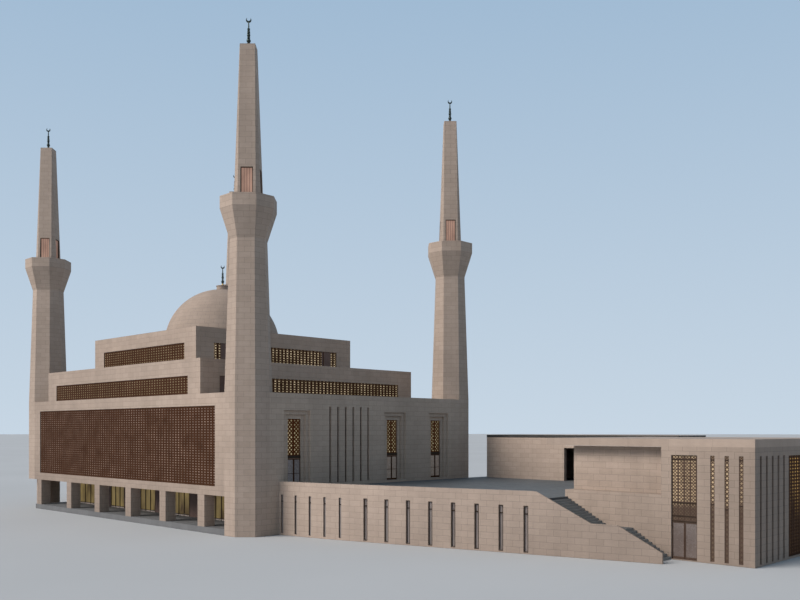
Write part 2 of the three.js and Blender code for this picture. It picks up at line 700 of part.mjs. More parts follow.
add('dome', domeShell(), stone);
add('dome_finial', finial(DOME.x, DOME.y, DOME_CAP.top + GAP, DOME_FINIAL_TOP), finialMetal);

// Court: wall, deck and floor

const radians = THREE.MathUtils.degToRad;
const courtCentre = {
  x: -COURT_ARC.radius * Math.sin(radians(COURT_ARC.startAngle)),
  y: COURT_START_Y + COURT_ARC.radius * Math.cos(radians(COURT_ARC.startAngle)),
};

// Point of the court wall at a distance from the hall, set in by the given depth
function courtPoint(distance, depth) {
  const arcAngle = radians(COURT_ARC.endAngle - COURT_ARC.startAngle);
  const arcLength = COURT_ARC.radius * arcAngle;
  const turned = Math.min(distance, arcLength) / COURT_ARC.radius;
  const angle = radians(COURT_ARC.startAngle) + turned;
  const beyond = Math.max(distance - arcLength, 0);
  return [
    courtCentre.x + (COURT_ARC.radius - depth) * Math.sin(angle) + beyond * Math.cos(angle),
    courtCentre.y - (COURT_ARC.radius - depth) * Math.cos(angle) + beyond * Math.sin(angle),
  ];
}

const arcLength = COURT_ARC.radius * radians(COURT_ARC.endAngle - COURT_ARC.startAngle);
const slope = Math.tan(radians(COURT_ARC.endAngle));
const tangentPoint = courtPoint(arcLength, 0);
const outerY = (x) => tangentPoint[1] + (x - tangentPoint[0]) * slope;
const stairWallY = (x) => outerY(x) + STAIR_WALL / Math.cos(radians(COURT_ARC.endAngle));

function courtLine(depth, firstX, endX) {
  const points = [];
  for (let i = 0; i <= COURT_ARC.facets; i += 1) {
    points.push(courtPoint(arcLength * i / COURT_ARC.facets, depth));
  }
  const offset = depth / Math.cos(radians(COURT_ARC.endAngle));
  points[0] = [firstX, points[0][1] + (firstX - points[0][0]) * Math.tan(radians(COURT_ARC.startAngle))];
  points.push([endX, outerY(endX) + offset]);
  return points;
}

function turnedSlot(distance) {
  const [x, y] = courtPoint(distance, COURT_WALL / 2);
  const angle = radians(COURT_ARC.startAngle) + Math.min(distance, arcLength) / COURT_ARC.radius;
  const half = COURT_SLOT.width / 2;
  return block([-half, half], [-M, M], COURT_SLOT.z).rotateZ(angle).translate(x, y, 0);
}

const courtSlots = [];
for (let i = 0; i < ARC_SLOTS.count; i += 1) {
  courtSlots.push(turnedSlot(ARC_SLOTS.first + i * ARC_SLOTS.spacing));
}
for (let i = 0; i < STRAIGHT_SLOTS.count; i += 1) {
  courtSlots.push(turnedSlot(arcLength + STRAIGHT_SLOTS.first + i * STRAIGHT_SLOTS.spacing));
}

const parapetEndX = STAIR_PARAPET[3].x;
const thickEndX = STAIR_TOP_X - GAP;
const courtWallPlan = [
  ...courtLine(0, GAP, parapetEndX),
  [parapetEndX, stairWallY(parapetEndX)],
  [thickEndX, stairWallY(thickEndX)],
  ...courtLine(COURT_WALL, GAP, thickEndX).reverse(),
];
const aboveStair = frontPlate([
  ...STAIR_PARAPET.map(({ x, z }) => [x, z]),
  [parapetEndX + M, STAIR_PARAPET[3].z],
  [parapetEndX + M, COURT_PARAPET + M],
  [STAIR_PARAPET[0].x, COURT_PARAPET + M],
], [0, 20 * M]);

add('court_wall', cut(prism(courtWallPlan, [0, COURT_PARAPET]), aboveStair, ...courtSlots), stone);

const annexFront = ANNEX.y[0];
const annexBack = ANNEX.y[1];

add('court_deck', prism([
  ...courtLine(COURT_WALL + GAP, GAP, STAIR_TOP_X - GAP),
  [STAIR_TOP_X - GAP, annexFront - GAP],
  [ANNEX.x[0] - GAP, annexFront - GAP],
  [ANNEX.x[0] - GAP, annexBack + GAP],
  [WING.x[1], annexBack + GAP],
  [WING.x[1], WING.y[1]],
  [GAP, WING.y[1]],
], [COURT_FLOOR - DECK_SLAB, COURT_FLOOR]), paving);

// Wall under the far edges of the deck
add('court_back_wall', prism([
  [GAP, HALL_WIDTH + GAP],
  [WING.wall, HALL_WIDTH + GAP],
  [WING.wall, WING.y[1] - WING.wall],
  [WING.x[1] - WING.wall, WING.y[1] - WING.wall],
  [WING.x[1] - WING.wall, annexBack + GAP],
  [WING.x[1], annexBack + GAP],
  [WING.x[1], WING.y[1]],
  [GAP, WING.y[1]],
], [0, COURT_FLOOR - DECK_SLAB - GAP]), stone);

add('lower_floor', prism([
  ...courtLine(COURT_WALL + GAP, GAP, STAIR_TOP_X - GAP),
  [STAIR_TOP_X - GAP, annexFront - GAP],
  [ANNEX.x[0] - GAP, annexFront - GAP],
  [ANNEX.x[0] - GAP, annexFront + ANNEX_WALL + GAP],
  [ANNEX.x[1] - ANNEX_WALL - GAP, annexFront + ANNEX_WALL + GAP],
  [ANNEX.x[1] - ANNEX_WALL - GAP, annexBack],
  [WING.x[1] - WING.wall - GAP, annexBack],
  [WING.x[1] - WING.wall - GAP, WING.y[1] - WING.wall - GAP],
  [WING.wall + GAP, WING.y[1] - WING.wall - GAP],
  [WING.wall + GAP, HALL_WIDTH],
  [GAP, HALL_WIDTH],
], [0, LOWER_FLOOR]), paving);

// Rear wing: four walls on the deck, a doorway in front, and a roof between them
const wingInner = { x: inset(WING.x, WING.wall), y: inset(WING.y, WING.wall) };
add('rear_wing_walls', cut(
  prism(rectangle(WING.x, WING.y), [COURT_FLOOR + GAP, WING.top], [rectangle(wingInner.x, wingInner.y)]),
  block(WING_DOORWAY.x, [WING.y[0] - M, WING.y[0] + M], [0, WING_DOORWAY.top]),
), stone);
add('rear_wing_roof', block(inset(wingInner.x, GAP), inset(wingInner.y, GAP), WING_ROOF), stone);

// Nosings and feet of a flight's risers, from its first riser at x down to z[1]
function flightSteps(x, z, { risers, tread }) {
  const riser = (z[0] - z[1]) / risers;
  const points = [];
  for (let i = 0; i < risers; i += 1) {
    points.push([x + i * tread, z[0] - i * riser], [x + i * tread, z[0] - (i + 1) * riser]);
  }
  return points;
}

// Stair: two flights and a landing as one stepped mass beside the parapet
const stairProfile = [
  [STAIR_TOP_X, 0],
  ...flightSteps(STAIR_TOP_X, [COURT_FLOOR, LANDING_Z], UPPER_FLIGHT).slice(1),
  ...flightSteps(LANDING_X, [LANDING_Z, 0], LOWER_FLIGHT),
];
const stairEnd = LANDING_X + LOWER_FLIGHT.risers * LOWER_FLIGHT.tread;
const stairPlan = [
  [STAIR_TOP_X - M, stairWallY(STAIR_TOP_X - M) + GAP],
  [stairEnd + M, stairWallY(stairEnd + M) + GAP],
  [stairEnd + M, annexFront - GAP],
  [STAIR_TOP_X - M, annexFront - GAP],
];
add('court_stair', common(
  frontPlate(stairProfile, [0, 20 * M]),
  prism(stairPlan, [-M, COURT_PARAPET]),
), paving);

// Entrance building

const wallTop = ANNEX_WALL_TOP - GAP;
const frontY = [annexFront, annexFront + ANNEX_WALL];
const loggiaY = [annexFront + LOGGIA.depth, annexFront + LOGGIA.depth + ANNEX_WALL];
const returnX = [LOGGIA.right, LOGGIA.right + ANNEX_WALL];

const annexFrontSlots = ANNEX_SLOTS.map((x) => block(
  around(x, ANNEX_SLOT.width),
  [annexFront - M, annexFront + M],
  ANNEX_SLOT.z,
));
add('annex_front_wall', cut(
  join(
    block([ANNEX.x[0], ANNEX_PORTAL.x[0]], frontY, [0, LOGGIA.sill]),
    block([ANNEX.x[0], returnX[1]], [annexFront, loggiaY[1]], [LOGGIA.sill - DECK_SLAB, LOGGIA.sill]),
    block([ANNEX.x[0], returnX[1]], loggiaY, [LOGGIA.sill - DECK_SLAB, wallTop]),
    block(returnX, [annexFront, loggiaY[1]], [LOGGIA.sill - DECK_SLAB, wallTop]),
    frontPlate([
      [LOGGIA.right, LOGGIA.sill - DECK_SLAB],
      [ANNEX_PORTAL.x[0], LOGGIA.sill - DECK_SLAB],
      [ANNEX_PORTAL.x[0], ANNEX_PORTAL.top],
      [ANNEX_PORTAL.x[1], ANNEX_PORTAL.top],
      [ANNEX_PORTAL.x[1], 0],
      [ANNEX.x[1], 0],
      [ANNEX.x[1], wallTop],
      [LOGGIA.right, wallTop],
    ], frontY),
    block(ANNEX_PORTAL.x, frontY, [0, LOWER_FLOOR]),
  ),
  ...annexFrontSlots,
), stone);

const sideWallY = [frontY[1] + GAP, ANNEX.y[1]];
const sideMiddle = (SIDE_OPENING.y[0] + SIDE_OPENING.y[1]) / 2;
const sideHoles = [rectangle(SIDE_OPENING.y, SIDE_OPENING.z)];
for (let i = 0; i < SIDE_SLOTS.count; i += 1) {
  const y = SIDE_SLOTS.first + i * SIDE_SLOTS.spacing;
  sideHoles.push(rectangle(around(y, ANNEX_SLOT.width), ANNEX_SLOT.z));
  sideHoles.push(rectangle(around(2 * sideMiddle - y, ANNEX_SLOT.width), ANNEX_SLOT.z));
}
add('annex_right_wall', sidePlate(
  rectangle(sideWallY, [0, wallTop]),
  [ANNEX.x[1] - ANNEX_WALL, ANNEX.x[1]],
  sideHoles,
), stone);

const farWallZ = [LOWER_FLOOR + GAP, wallTop];
const backWallX = [ANNEX.x[0], ANNEX.x[1] - ANNEX_WALL - GAP];
add('annex_back_left_wall', join(
  block([ANNEX.x[0], ANNEX.x[0] + ANNEX_WALL], [loggiaY[1] + GAP, ANNEX.y[1]], farWallZ),
  block(backWallX, [ANNEX.y[1] - ANNEX_WALL, ANNEX.y[1]], farWallZ),
), stone);

add('annex_roof', block(
  [ANNEX.x[0] - ROOF_OVERHANG, ANNEX.x[1]],
  ANNEX.y,
  [ANNEX_WALL_TOP, ANNEX_ROOF_TOP],
), stone);

const portalX = inset(ANNEX_PORTAL.x, GAP);
const annexScreenY = around(annexFront + ANNEX_PORTAL.doorPlane, LATTICE_DEPTH);
const annexScreenZ = [ANNEX_PORTAL.doorHead, ANNEX_PORTAL.top - GAP];
add('annex_portal_screen', frontPlate(
  rectangle(portalX, annexScreenZ),
  annexScreenY,
  diamondHoles(portalX, [annexScreenZ[0] + LATTICE_BAR, annexScreenZ[1]], 2, 5, LATTICE_BAR),
), bronze);

const sideScreenY = inset(SIDE_OPENING.y, GAP);
const sideScreenZ = inset(SIDE_OPENING.z, GAP);
add('annex_side_screen', sidePlate(
  rectangle(sideScreenY, sideScreenZ),
  [ANNEX.x[1] - 0.12 * M - LATTICE_DEPTH, ANNEX.x[1] - 0.12 * M],
  gridHoles(sideScreenY, sideScreenZ, 4, 6, LATTICE_BAR),
), bronze);

const annexMiddle = (ANNEX_PORTAL.x[0] + ANNEX_PORTAL.x[1]) / 2;
const annexDoorZ = [LOWER_FLOOR, ANNEX_PORTAL.doorHead];
add('annex_door_left', doorLeaf(ANNEX_PORTAL.x[0], annexMiddle, annexDoorZ, inAnnexFront), doorMetal);
add('annex_door_right', doorLeaf(ANNEX_PORTAL.x[1], annexMiddle, annexDoorZ, inAnnexFront), doorMetal);

// The origin lies on the ground under the dome
building.position.set(-DOME.x, -DOME.y, 0);
building.updateMatrixWorld(true);

export default building;
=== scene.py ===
import math

import bmesh
import bpy
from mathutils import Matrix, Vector


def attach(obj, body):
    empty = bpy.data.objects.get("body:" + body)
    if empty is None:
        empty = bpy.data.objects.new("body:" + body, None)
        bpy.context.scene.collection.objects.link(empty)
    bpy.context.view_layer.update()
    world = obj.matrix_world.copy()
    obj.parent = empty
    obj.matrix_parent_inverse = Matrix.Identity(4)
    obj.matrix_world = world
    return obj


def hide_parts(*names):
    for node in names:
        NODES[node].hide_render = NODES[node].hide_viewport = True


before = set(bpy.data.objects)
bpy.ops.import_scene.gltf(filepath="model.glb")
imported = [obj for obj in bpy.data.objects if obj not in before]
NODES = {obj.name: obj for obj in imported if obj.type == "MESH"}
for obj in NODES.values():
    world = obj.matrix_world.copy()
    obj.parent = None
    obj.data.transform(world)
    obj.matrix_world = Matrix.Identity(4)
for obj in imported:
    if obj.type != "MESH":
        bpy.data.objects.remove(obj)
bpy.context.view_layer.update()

X, Y, Z = 0, 1, 2

# The building is a 1:2 scale model. Its sizes are given here in metres of the real building, from the near
# corner of the hall on the ground. The model's frame has its origin on the ground below the dome.
SCALE = 1 / 2
ORIGIN = (-20.5, 12.05, 0.0)
HALL_LENGTH = 41.0
HALL_WIDTH = 28.5
MAIN_FLOOR = 3.89
PORTALS = (5.41, 16.9, 22.87)
PORTAL_HALF = 0.7
PORTAL_TOP = 9.4
DOOR_HEAD = 6.1
DOOR_PLANE = 0.52
DOME_CENTRE = (ORIGIN[X], ORIGIN[Y], 17.2)
DOME_RADIUS = 5.874
TOWERS = {
    "near_corner": (-1.85, 1.85),
    "front_left": (-39.15, 1.85),
    "back_right": (-1.85, 26.65),
    "back_left": (-39.15, 26.65),
}
ANNEX_FRONT = 13.1
ANNEX_RIGHT = 34.69
ANNEX_PORTAL_X = (29.17, 30.96)
OPENING_GAP = 0.002


def in_frame(value, axis):
    """A place along one axis, turned into the model's frame."""
    return (value - ORIGIN[axis]) * SCALE


def place(x, y, z):
    return Vector((in_frame(x, X), in_frame(y, Y), in_frame(z, Z)))


# Materials

PANEL = (0.49, 0.222)
NOISE_SPAN = (0.3, 0.7)
LEVEL_FACE = 0.7


def set_stops(ramp, stops):
    """Gives a colour ramp its stops, each a place with its colour."""
    while len(ramp.elements) < len(stops):
        ramp.elements.new(0.5)
    for element, (at, colour) in zip(ramp.elements, stops):
        element.position = at
        element.color = (*colour, 1)


class Shade:
    """A node material and short ways to add nodes to it."""

    def __init__(self, name):
        self.material = bpy.data.materials.new(name)
        self.material.use_nodes = True
        self.tree = self.material.node_tree
        self.shader = self.tree.nodes["Principled BSDF"]

    def node(self, kind, inputs=None, **settings):
        node = self.tree.nodes.new(kind)
        for key, value in settings.items():
            setattr(node, key, value)
        self.feed(node, inputs or {})
        return node

    def feed(self, node, inputs):
        for key, value in inputs.items():
            if isinstance(value, bpy.types.NodeSocket):
                self.tree.links.new(value, node.inputs[key])
            else:
                node.inputs[key].default_value = value

    def finish(self, inputs):
        self.feed(self.shader, inputs)

    def math(self, operation, a, b=0.0):
        return self.node("ShaderNodeMath", {0: a, 1: b}, operation=operation).outputs[0]

    def product(self, factor, *others):
        for other in others:
            factor = self.math("MULTIPLY", factor, other)
        return factor

    def vector(self, operation, a, b=None):
        inputs = {0: a} if b is None else {0: a, 1: b}
        node = self.node("ShaderNodeVectorMath", inputs, operation=operation)
        return node.outputs["Value"] if operation == "DOT_PRODUCT" else node.outputs[0]

    def parts(self, vector):
        return self.node("ShaderNodeSeparateXYZ", {0: vector}).outputs

    def joined(self, x, y):
        return self.node("ShaderNodeCombineXYZ", {0: x, 1: y}).outputs[0]

    def object_place(self):
        return self.node("ShaderNodeTexCoord").outputs["Object"]

    def normal(self):
        return self.node("ShaderNodeNewGeometry").outputs["True Normal"]

    def stretched(self, where, factors):
        return self.vector("MULTIPLY", where, factors)

    def noise(self, where, scale, detail=3.0, rough=0.5):
        inputs = {"Vector": where, "Scale": scale, "Detail": detail, "Roughness": rough}
        return self.node("ShaderNodeTexNoise", inputs).outputs["Fac"]

    def spread(self, value, low, high, source=(0.0, 1.0)):
        inputs = {"Value": value, "From Min": source[0], "From Max": source[1], "To Min": low, "To Max": high}
        return self.node("ShaderNodeMapRange", inputs).outputs[0]

    def vary(self, noise, low, high):
        """From low to high over the span that nearly all of a noise lies in."""
        return self.spread(noise, low, high, NOISE_SPAN)

    def ramp(self, value, *stops):
        node = self.node("ShaderNodeValToRGB", {"Fac": value})
        set_stops(node.color_ramp, stops)
        return node.outputs["Color"]

    def tint(self, colour, factor):
        """The colour times a grey factor."""
        return self.node("ShaderNodeVectorMath", {0: colour, 3: factor}, operation="SCALE").outputs[0]

    def share(self, factor, shares):
        """The factor times shares (axis, low, high, start, end) that go from low to high between two places
        along an axis, in real metres."""
        for axis, low, high, start, end in shares:
            along = self.parts(self.object_place())[axis]
            span = (in_frame(start, axis), in_frame(end, axis))
            factor = self.product(factor, self.spread(along, low, high, span))
        return factor

    def turned(self, factor, axis, low, high):
        """The factor times a share that goes from low to high as faces turn to look along an axis."""
        across = self.math("ABSOLUTE", self.parts(self.normal())[axis])
        return self.product(factor, self.spread(across, low, high))

    def bump(self, height, strength, distance):
        inputs = {"Height": height, "Strength": strength, "Distance": distance}
        self.finish({"Normal": self.node("ShaderNodeBump", inputs).outputs[0]})


def wall_coordinates(shade):
    """Distance along the wall and height, or x and y on level faces."""
    where = shade.object_place()
    normal = shade.normal()
    along = shade.vector("NORMALIZE", shade.vector("CROSS_PRODUCT", (0, 0, 1), normal))
    parts = shade.parts(where)
    upright = shade.joined(shade.vector("DOT_PRODUCT", where, along), parts[Z])
    level = shade.joined(parts[X], parts[Y])
    is_level = shade.math("GREATER_THAN", shade.math("ABSOLUTE", shade.parts(normal)[Z]), LEVEL_FACE)
    mixed = shade.node("ShaderNodeMix", {0: is_level, 4: upright, 5: level}, data_type="VECTOR")
    return where, mixed.outputs[1]


def dome_coordinates(shade):
    """Distance round the dome and up its side. The dome's axis is the frame's."""
    where = shade.object_place()
    parts = shade.parts(where)
    around = shade.math("ARCTAN2", parts[Y], parts[X])
    rise = shade.math("SUBTRACT", parts[Z], in_frame(DOME_CENTRE[Z], Z))
    squares = shade.math("ADD", shade.math("POWER", parts[X], 2), shade.math("POWER", parts[Y], 2))
    up = shade.math("ARCTAN2", rise, shade.math("SQRT", squares))
    radius = DOME_RADIUS * SCALE
    return where, shade.joined(shade.product(around, radius), shade.product(up, radius))


def stone(
    name, light, dark, panel=PANEL, joint=0.005, joint_shade=0.62, coordinates=wall_coordinates,
    shares=(), turned=None, lift=None,
):
    """Honed stone panels in running bond, with joints, veins, grain and faint rain marks. Shares and turned
    paint light and shade into its colour by place and by facing, as the photo's light does. Lift (amount,
    shares) paints light into it."""
    shade = Shade(name)
    where, flat = coordinates(shade)
    bricks = shade.node("ShaderNodeTexBrick", {
        "Vector": flat, "Color1": (*light, 1), "Color2": (*dark, 1),
        "Mortar": (*[c * joint_shade for c in dark], 1), "Scale": 1.0, "Mortar Size": joint,
        "Mortar Smooth": 0.25, "Bias": -0.1, "Brick Width": panel[0], "Row Height": panel[1],
    })
    cloud = shade.noise(where, scale=0.45)
    vein = shade.noise(shade.stretched(where, (1.0, 1.0, 5.0)), scale=4.0, detail=6.0, rough=0.62)
    grain = shade.noise(where, scale=55.0, detail=4.0, rough=0.6)
    rain = shade.noise(shade.stretched(where, (2.6, 2.6, 0.16)), scale=1.0, detail=4.0, rough=0.55)
    factor = shade.product(
        shade.vary(cloud, 0.93, 1.07), shade.vary(vein, 0.93, 1.06), shade.vary(grain, 0.955, 1.045),
        shade.spread(rain, 0.94, 1.03, (0.3, 0.65)),
    )
    factor = shade.share(factor, shares)
    if turned:
        factor = shade.turned(factor, *turned)
    if lift:
        factor = shade.product(factor, shade.math("ADD", 1.0, shade.share(*lift)))
    shade.finish({
        "Base Color": shade.tint(bricks.outputs["Color"], factor),
        "Roughness": shade.vary(vein, 0.62, 0.84),
        "Specular IOR Level": 0.3,
    })
    height = shade.math("SUBTRACT", 1.0, bricks.outputs["Fac"])
    height = shade.math("ADD", height, shade.product(grain, 0.25))
    height = shade.math("ADD", height, shade.product(vein, 0.3))
    shade.bump(height, strength=0.45, distance=0.003)
    return shade.material


def stair_finish():
    """Grey stone, painted darker on the sunlit treads and lighter on the shaded risers, which evens out their
    light and shade.
    """
    shade = Shade("stair_stone")
    where = shade.object_place()
    cloud = shade.noise(where, scale=1.2, detail=4.0, rough=0.6)
    grain = shade.noise(where, scale=60.0, detail=4.0, rough=0.6)
    # Painted light and shade by facing: the level treads darker, the upright risers lighter.
    up = shade.parts(shade.normal())[Z]
    colours = shade.ramp(up, (0.0, (0.235, 0.235, 0.225)), (0.6, (0.078, 0.08, 0.081)))
    factor = shade.product(shade.vary(cloud, 0.88, 1.12), shade.vary(grain, 0.9, 1.1))
    shade.finish({
        "Base Color": shade.tint(colours, factor),
        "Roughness": shade.vary(grain, 0.6, 0.85),
    })
    shade.bump(grain, strength=0.4, distance=0.002)
    return shade.material


def metal(name, colour, worn, roughness, metallic, shine=0.15):
    """Painted or patinated metal with cloudy wear."""
    shade = Shade(name)
    where = shade.object_place()
    cloud = shade.noise(where, scale=2.2, detail=4.0, rough=0.6)
    grain = shade.noise(where, scale=28.0, detail=5.0, rough=0.65)
    colours = shade.ramp(cloud, (0.32, colour), (0.68, worn))
    shade.finish({
        "Base Color": shade.tint(colours, shade.vary(grain, 0.85, 1.15)),
        "Metallic": metallic,
        "Specular IOR Level": shine,
        "Roughness": shade.vary(grain, roughness - 0.1, roughness + 0.12),
    })
    shade.bump(grain, strength=0.25, distance=0.0015)
    return shade.material


def lit_glass(name, dim, bright, stretch, window, shares=(), turned=None, shine=0.04):
    """Glass with a painted glow, as if lit from inside, brighter in patches. Shares and turned paint the glow
    brighter or dimmer by place and by facing. The window is the part of the noise that the glow spans.
    """
    shade = Shade(name)
    where = shade.object_place()
    patches = shade.noise(shade.stretched(where, stretch), scale=1.0, rough=0.55)
    glow = shade.share(shade.spread(patches, 0.0, 1.0, window), shares)
    if turned:
        glow = shade.turned(glow, *turned)
    colours = shade.ramp(glow, (0.0, dim), (1.0, bright))
    ripple = shade.noise(where, scale=3.0, detail=2.0)
    shade.finish({
        "Base Color": shade.tint(colours, 0.35),
        "Emission Color": colours,
        "Emission Strength": 1.0,
        "Roughness": shade.spread(ripple, 0.12, 0.25),
        "Specular IOR Level": shine,
    })
    shade.bump(ripple, strength=0.1, distance=0.002)
    return shade.material


def dark_glass(name, colour, other, roughness=0.12, shine=0.6):
    """Unlit glass, a little uneven as float glass is."""
    shade = Shade(name)
    where = shade.object_place()
    ripple = shade.noise(shade.stretched(where, (1.0, 1.0, 0.35)), scale=1.3, detail=2.0)
    dust = shade.noise(where, scale=9.0, detail=4.0, rough=0.6)
    shade.finish({
        "Base Color": shade.ramp(ripple, (0.35, colour), (0.65, other)),
        "Roughness": shade.spread(dust, roughness, roughness + 0.14, (0.35, 0.7)),
        "Specular IOR Level": shine,
    })
    shade.bump(ripple, strength=0.12, distance=0.003)
    return shade.material


def floor_finish():
    shade = Shade("studio_floor")
    cloud = shade.noise(shade.object_place(), scale=0.06)
    shade.finish({
        "Base Color": shade.ramp(cloud, (0.3, (0.37, 0.375, 0.38)), (0.7, (0.4, 0.405, 0.41))),
        "Roughness": 0.9,
    })
    return shade.material


# Painted light and shade: the stones are darker towards the bottom, where shade gathers near the ground, and
# brighter or darker along x, where light falls unevenly on the walls. The loggia's lift paints light into the
# upper back wall of the loggia, in the shade of its roof.
HALL_PAINTED_SHADING = [(Z, 0.72, 1.0, 0, 8), (X, 0.9, 1.03, -38, -3)]
COURT_PAINTED_SHADING = [(Z, 0.8, 1.0, 0, 7.4), (X, 1.26, 0.9, 2, 28)]
ENTRANCE_PAINTED_SHADING = [(Z, 0.85, 1.0, 0, 7.4), (X, 1.14, 0.82, 21, 34)]
LOGGIA_PAINTED_LIGHT = (0.5, [(Y, 0.0, 1.0, 13.3, 14.2), (Z, 0.0, 1.0, 5.4, 6.6)])
ENTRANCE_COLOURS = ((0.325, 0.25, 0.2), (0.298, 0.229, 0.182))

hall_stone = stone("hall_stone", (0.357, 0.274, 0.219), (0.325, 0.248, 0.196), shares=HALL_PAINTED_SHADING)
# Painted light: a lighter copy of the hall's stone, so the shaded sides and soffit of the arcade come out
# brighter; faces that look along y are dimmed back to about the hall's stone.
arcade_stone = stone(
    "arcade_stone", (0.446, 0.342, 0.274), (0.406, 0.31, 0.245), shares=HALL_PAINTED_SHADING, turned=(Y, 1.0, 0.8),
)
tower_stone = stone("tower_stone", (0.366, 0.282, 0.226), (0.333, 0.255, 0.202))
# Painted light: a lighter copy of the hall's stone for the shaded right walls, brighter still on faces that
# look along y, the reveals of the portals. Painted shade darkens it towards the bottom.
court_side_stone = stone(
    "court_side_stone", (0.4, 0.312, 0.247), (0.368, 0.286, 0.226),
    shares=[(Z, 0.85, 1.0, 0, 10)], turned=(Y, 1.0, 1.4),
)
court_stone = stone("court_stone", (0.36, 0.278, 0.224), (0.329, 0.253, 0.203), shares=COURT_PAINTED_SHADING)
entrance_stone = stone("entrance_stone", *ENTRANCE_COLOURS, shares=ENTRANCE_PAINTED_SHADING)
entrance_front_stone = stone(
    "entrance_front_stone", *ENTRANCE_COLOURS, shares=ENTRANCE_PAINTED_SHADING, lift=LOGGIA_PAINTED_LIGHT,
)
# Painted shade: a darker copy of the entrance stone for the shaded right wall of the entrance building.
entrance_side_stone = stone("entrance_side_stone", (0.26, 0.2, 0.16), (0.24, 0.184, 0.147))
edge_stone = stone("edge_stone", (0.33, 0.255, 0.205), (0.3, 0.23, 0.184), panel=(1.5, 0.6), joint=0.003)
roof_stone = stone("roof_stone", (0.3, 0.27, 0.24), (0.27, 0.243, 0.215), panel=(0.5, 0.5), joint=0.004)
dome_stone = stone("dome_stone", (0.317, 0.242, 0.192), (0.289, 0.219, 0.172), coordinates=dome_coordinates)
deck_stone = stone(
    "deck_stone", (0.115, 0.12, 0.122), (0.1, 0.105, 0.108), panel=(0.6, 0.3), joint_shade=0.6,
)
stair_stone = stair_finish()
slab_stone = stone(
    "slab_stone", (0.13, 0.129, 0.13), (0.115, 0.114, 0.115), panel=(0.6, 0.6), joint=0.004,
)
trim_stone = stone("trim_stone", (0.42, 0.35, 0.3), (0.38, 0.315, 0.27))

# Metal: colour, worn colour, roughness and share of metal
bronze = metal("bronze_lattice", (0.046, 0.018, 0.008), (0.062, 0.027, 0.0135), 0.55, 0.1, shine=0.03)
sun_bronze = metal("entrance_bronze", (0.062, 0.037, 0.026), (0.08, 0.05, 0.036), 0.5, 0.15)
red_bronze = metal("red_bronze", (0.09, 0.026, 0.008), (0.11, 0.036, 0.012), 0.5, 0.1, shine=0.03)
dark_bronze = metal("dark_bronze", (0.03, 0.018, 0.011), (0.042, 0.027, 0.018), 0.45, 0.2)
panel_metal = metal("panel_metal", (0.12, 0.075, 0.062), (0.16, 0.105, 0.088), 0.5, 0.05)
coping_metal = metal("coping_metal", (0.05, 0.048, 0.045), (0.068, 0.065, 0.06), 0.5, 0.3)
finial_metal = metal("finial_metal", (0.03, 0.042, 0.038), (0.05, 0.062, 0.055), 0.38, 0.7)
gilt = metal("gilt_metal", (0.36, 0.22, 0.06), (0.5, 0.33, 0.11), 0.32, 0.9)

# Lit glass, a painted glow: dim and bright colour, the stretch of its patches, and the window of its glow.
# Its shares and turned paint the glow brighter or dimmer by place and by facing
screen_glass = lit_glass(
    "screen_glass", (0.072, 0.047, 0.037), (0.285, 0.198, 0.158), (1.2, 1.2, 1.4), (0.3, 0.7),
    shares=[(X, 0.85, 1.15, -34, -4)],
)
ribbon_glass = lit_glass(
    "ribbon_glass", (0.13, 0.093, 0.05), (0.5, 0.385, 0.245), (1.6, 1.6, 1.6), (0.25, 0.7),
    turned=(X, 0.38, 1.1),
)
portal_glass = lit_glass(
    "portal_glass", (0.08, 0.062, 0.035), (0.37, 0.3, 0.175), (0.9, 0.9, 0.6), (0.25, 0.65),
)
annex_glass = lit_glass(
    "annex_glass", (0.06, 0.04, 0.03), (0.45, 0.33, 0.2), (2.2, 2.2, 0.2), (0.25, 0.6),
    shares=[(Z, 0.1, 1.0, 3.4, 3.9)], shine=0.15,
)
side_glass = lit_glass(
    "side_glass", (0.03, 0.018, 0.012), (0.4, 0.24, 0.08), (1.5, 1.5, 0.4), (0.3, 0.6),
    shares=[(Z, 0.1, 1.0, 2.5, 4.2)],
)
arcade_glass = lit_glass(
    "arcade_glass", (0.045, 0.03, 0.019), (0.2, 0.148, 0.06), (1.6, 1.6, 0.7), (0.3, 0.7),
)
tower_glass = lit_glass(
    "tower_door_glass", (0.2, 0.122, 0.095), (0.35, 0.215, 0.165), (1.2, 1.2, 0.6), (0.35, 0.65),
)
slot_glass = lit_glass(
    "slot_glass", (0.02, 0.018, 0.016), (0.3, 0.21, 0.09), (1.5, 1.5, 0.5), (0.52, 0.72),
)
court_glass = dark_glass("court_glass", (0.2, 0.165, 0.15), (0.29, 0.245, 0.225), shine=0.25)
blue_glass = dark_glass("blue_door_glass", (0.21, 0.172, 0.158), (0.29, 0.243, 0.226), roughness=0.2)
plum_glass = dark_glass("plum_door_glass", (0.38, 0.27, 0.208), (0.49, 0.37, 0.285), roughness=0.2)
annex_door_glass = dark_glass(
    "annex_door_glass", (0.105, 0.08, 0.07), (0.155, 0.122, 0.108), roughness=0.2,
)


# Pieces. A mark is a place in a piece's list of finishes

METAL, PANE, EXTRA, SILL = 0, 1, 2, 3
SHARP_EDGE = math.radians(35)


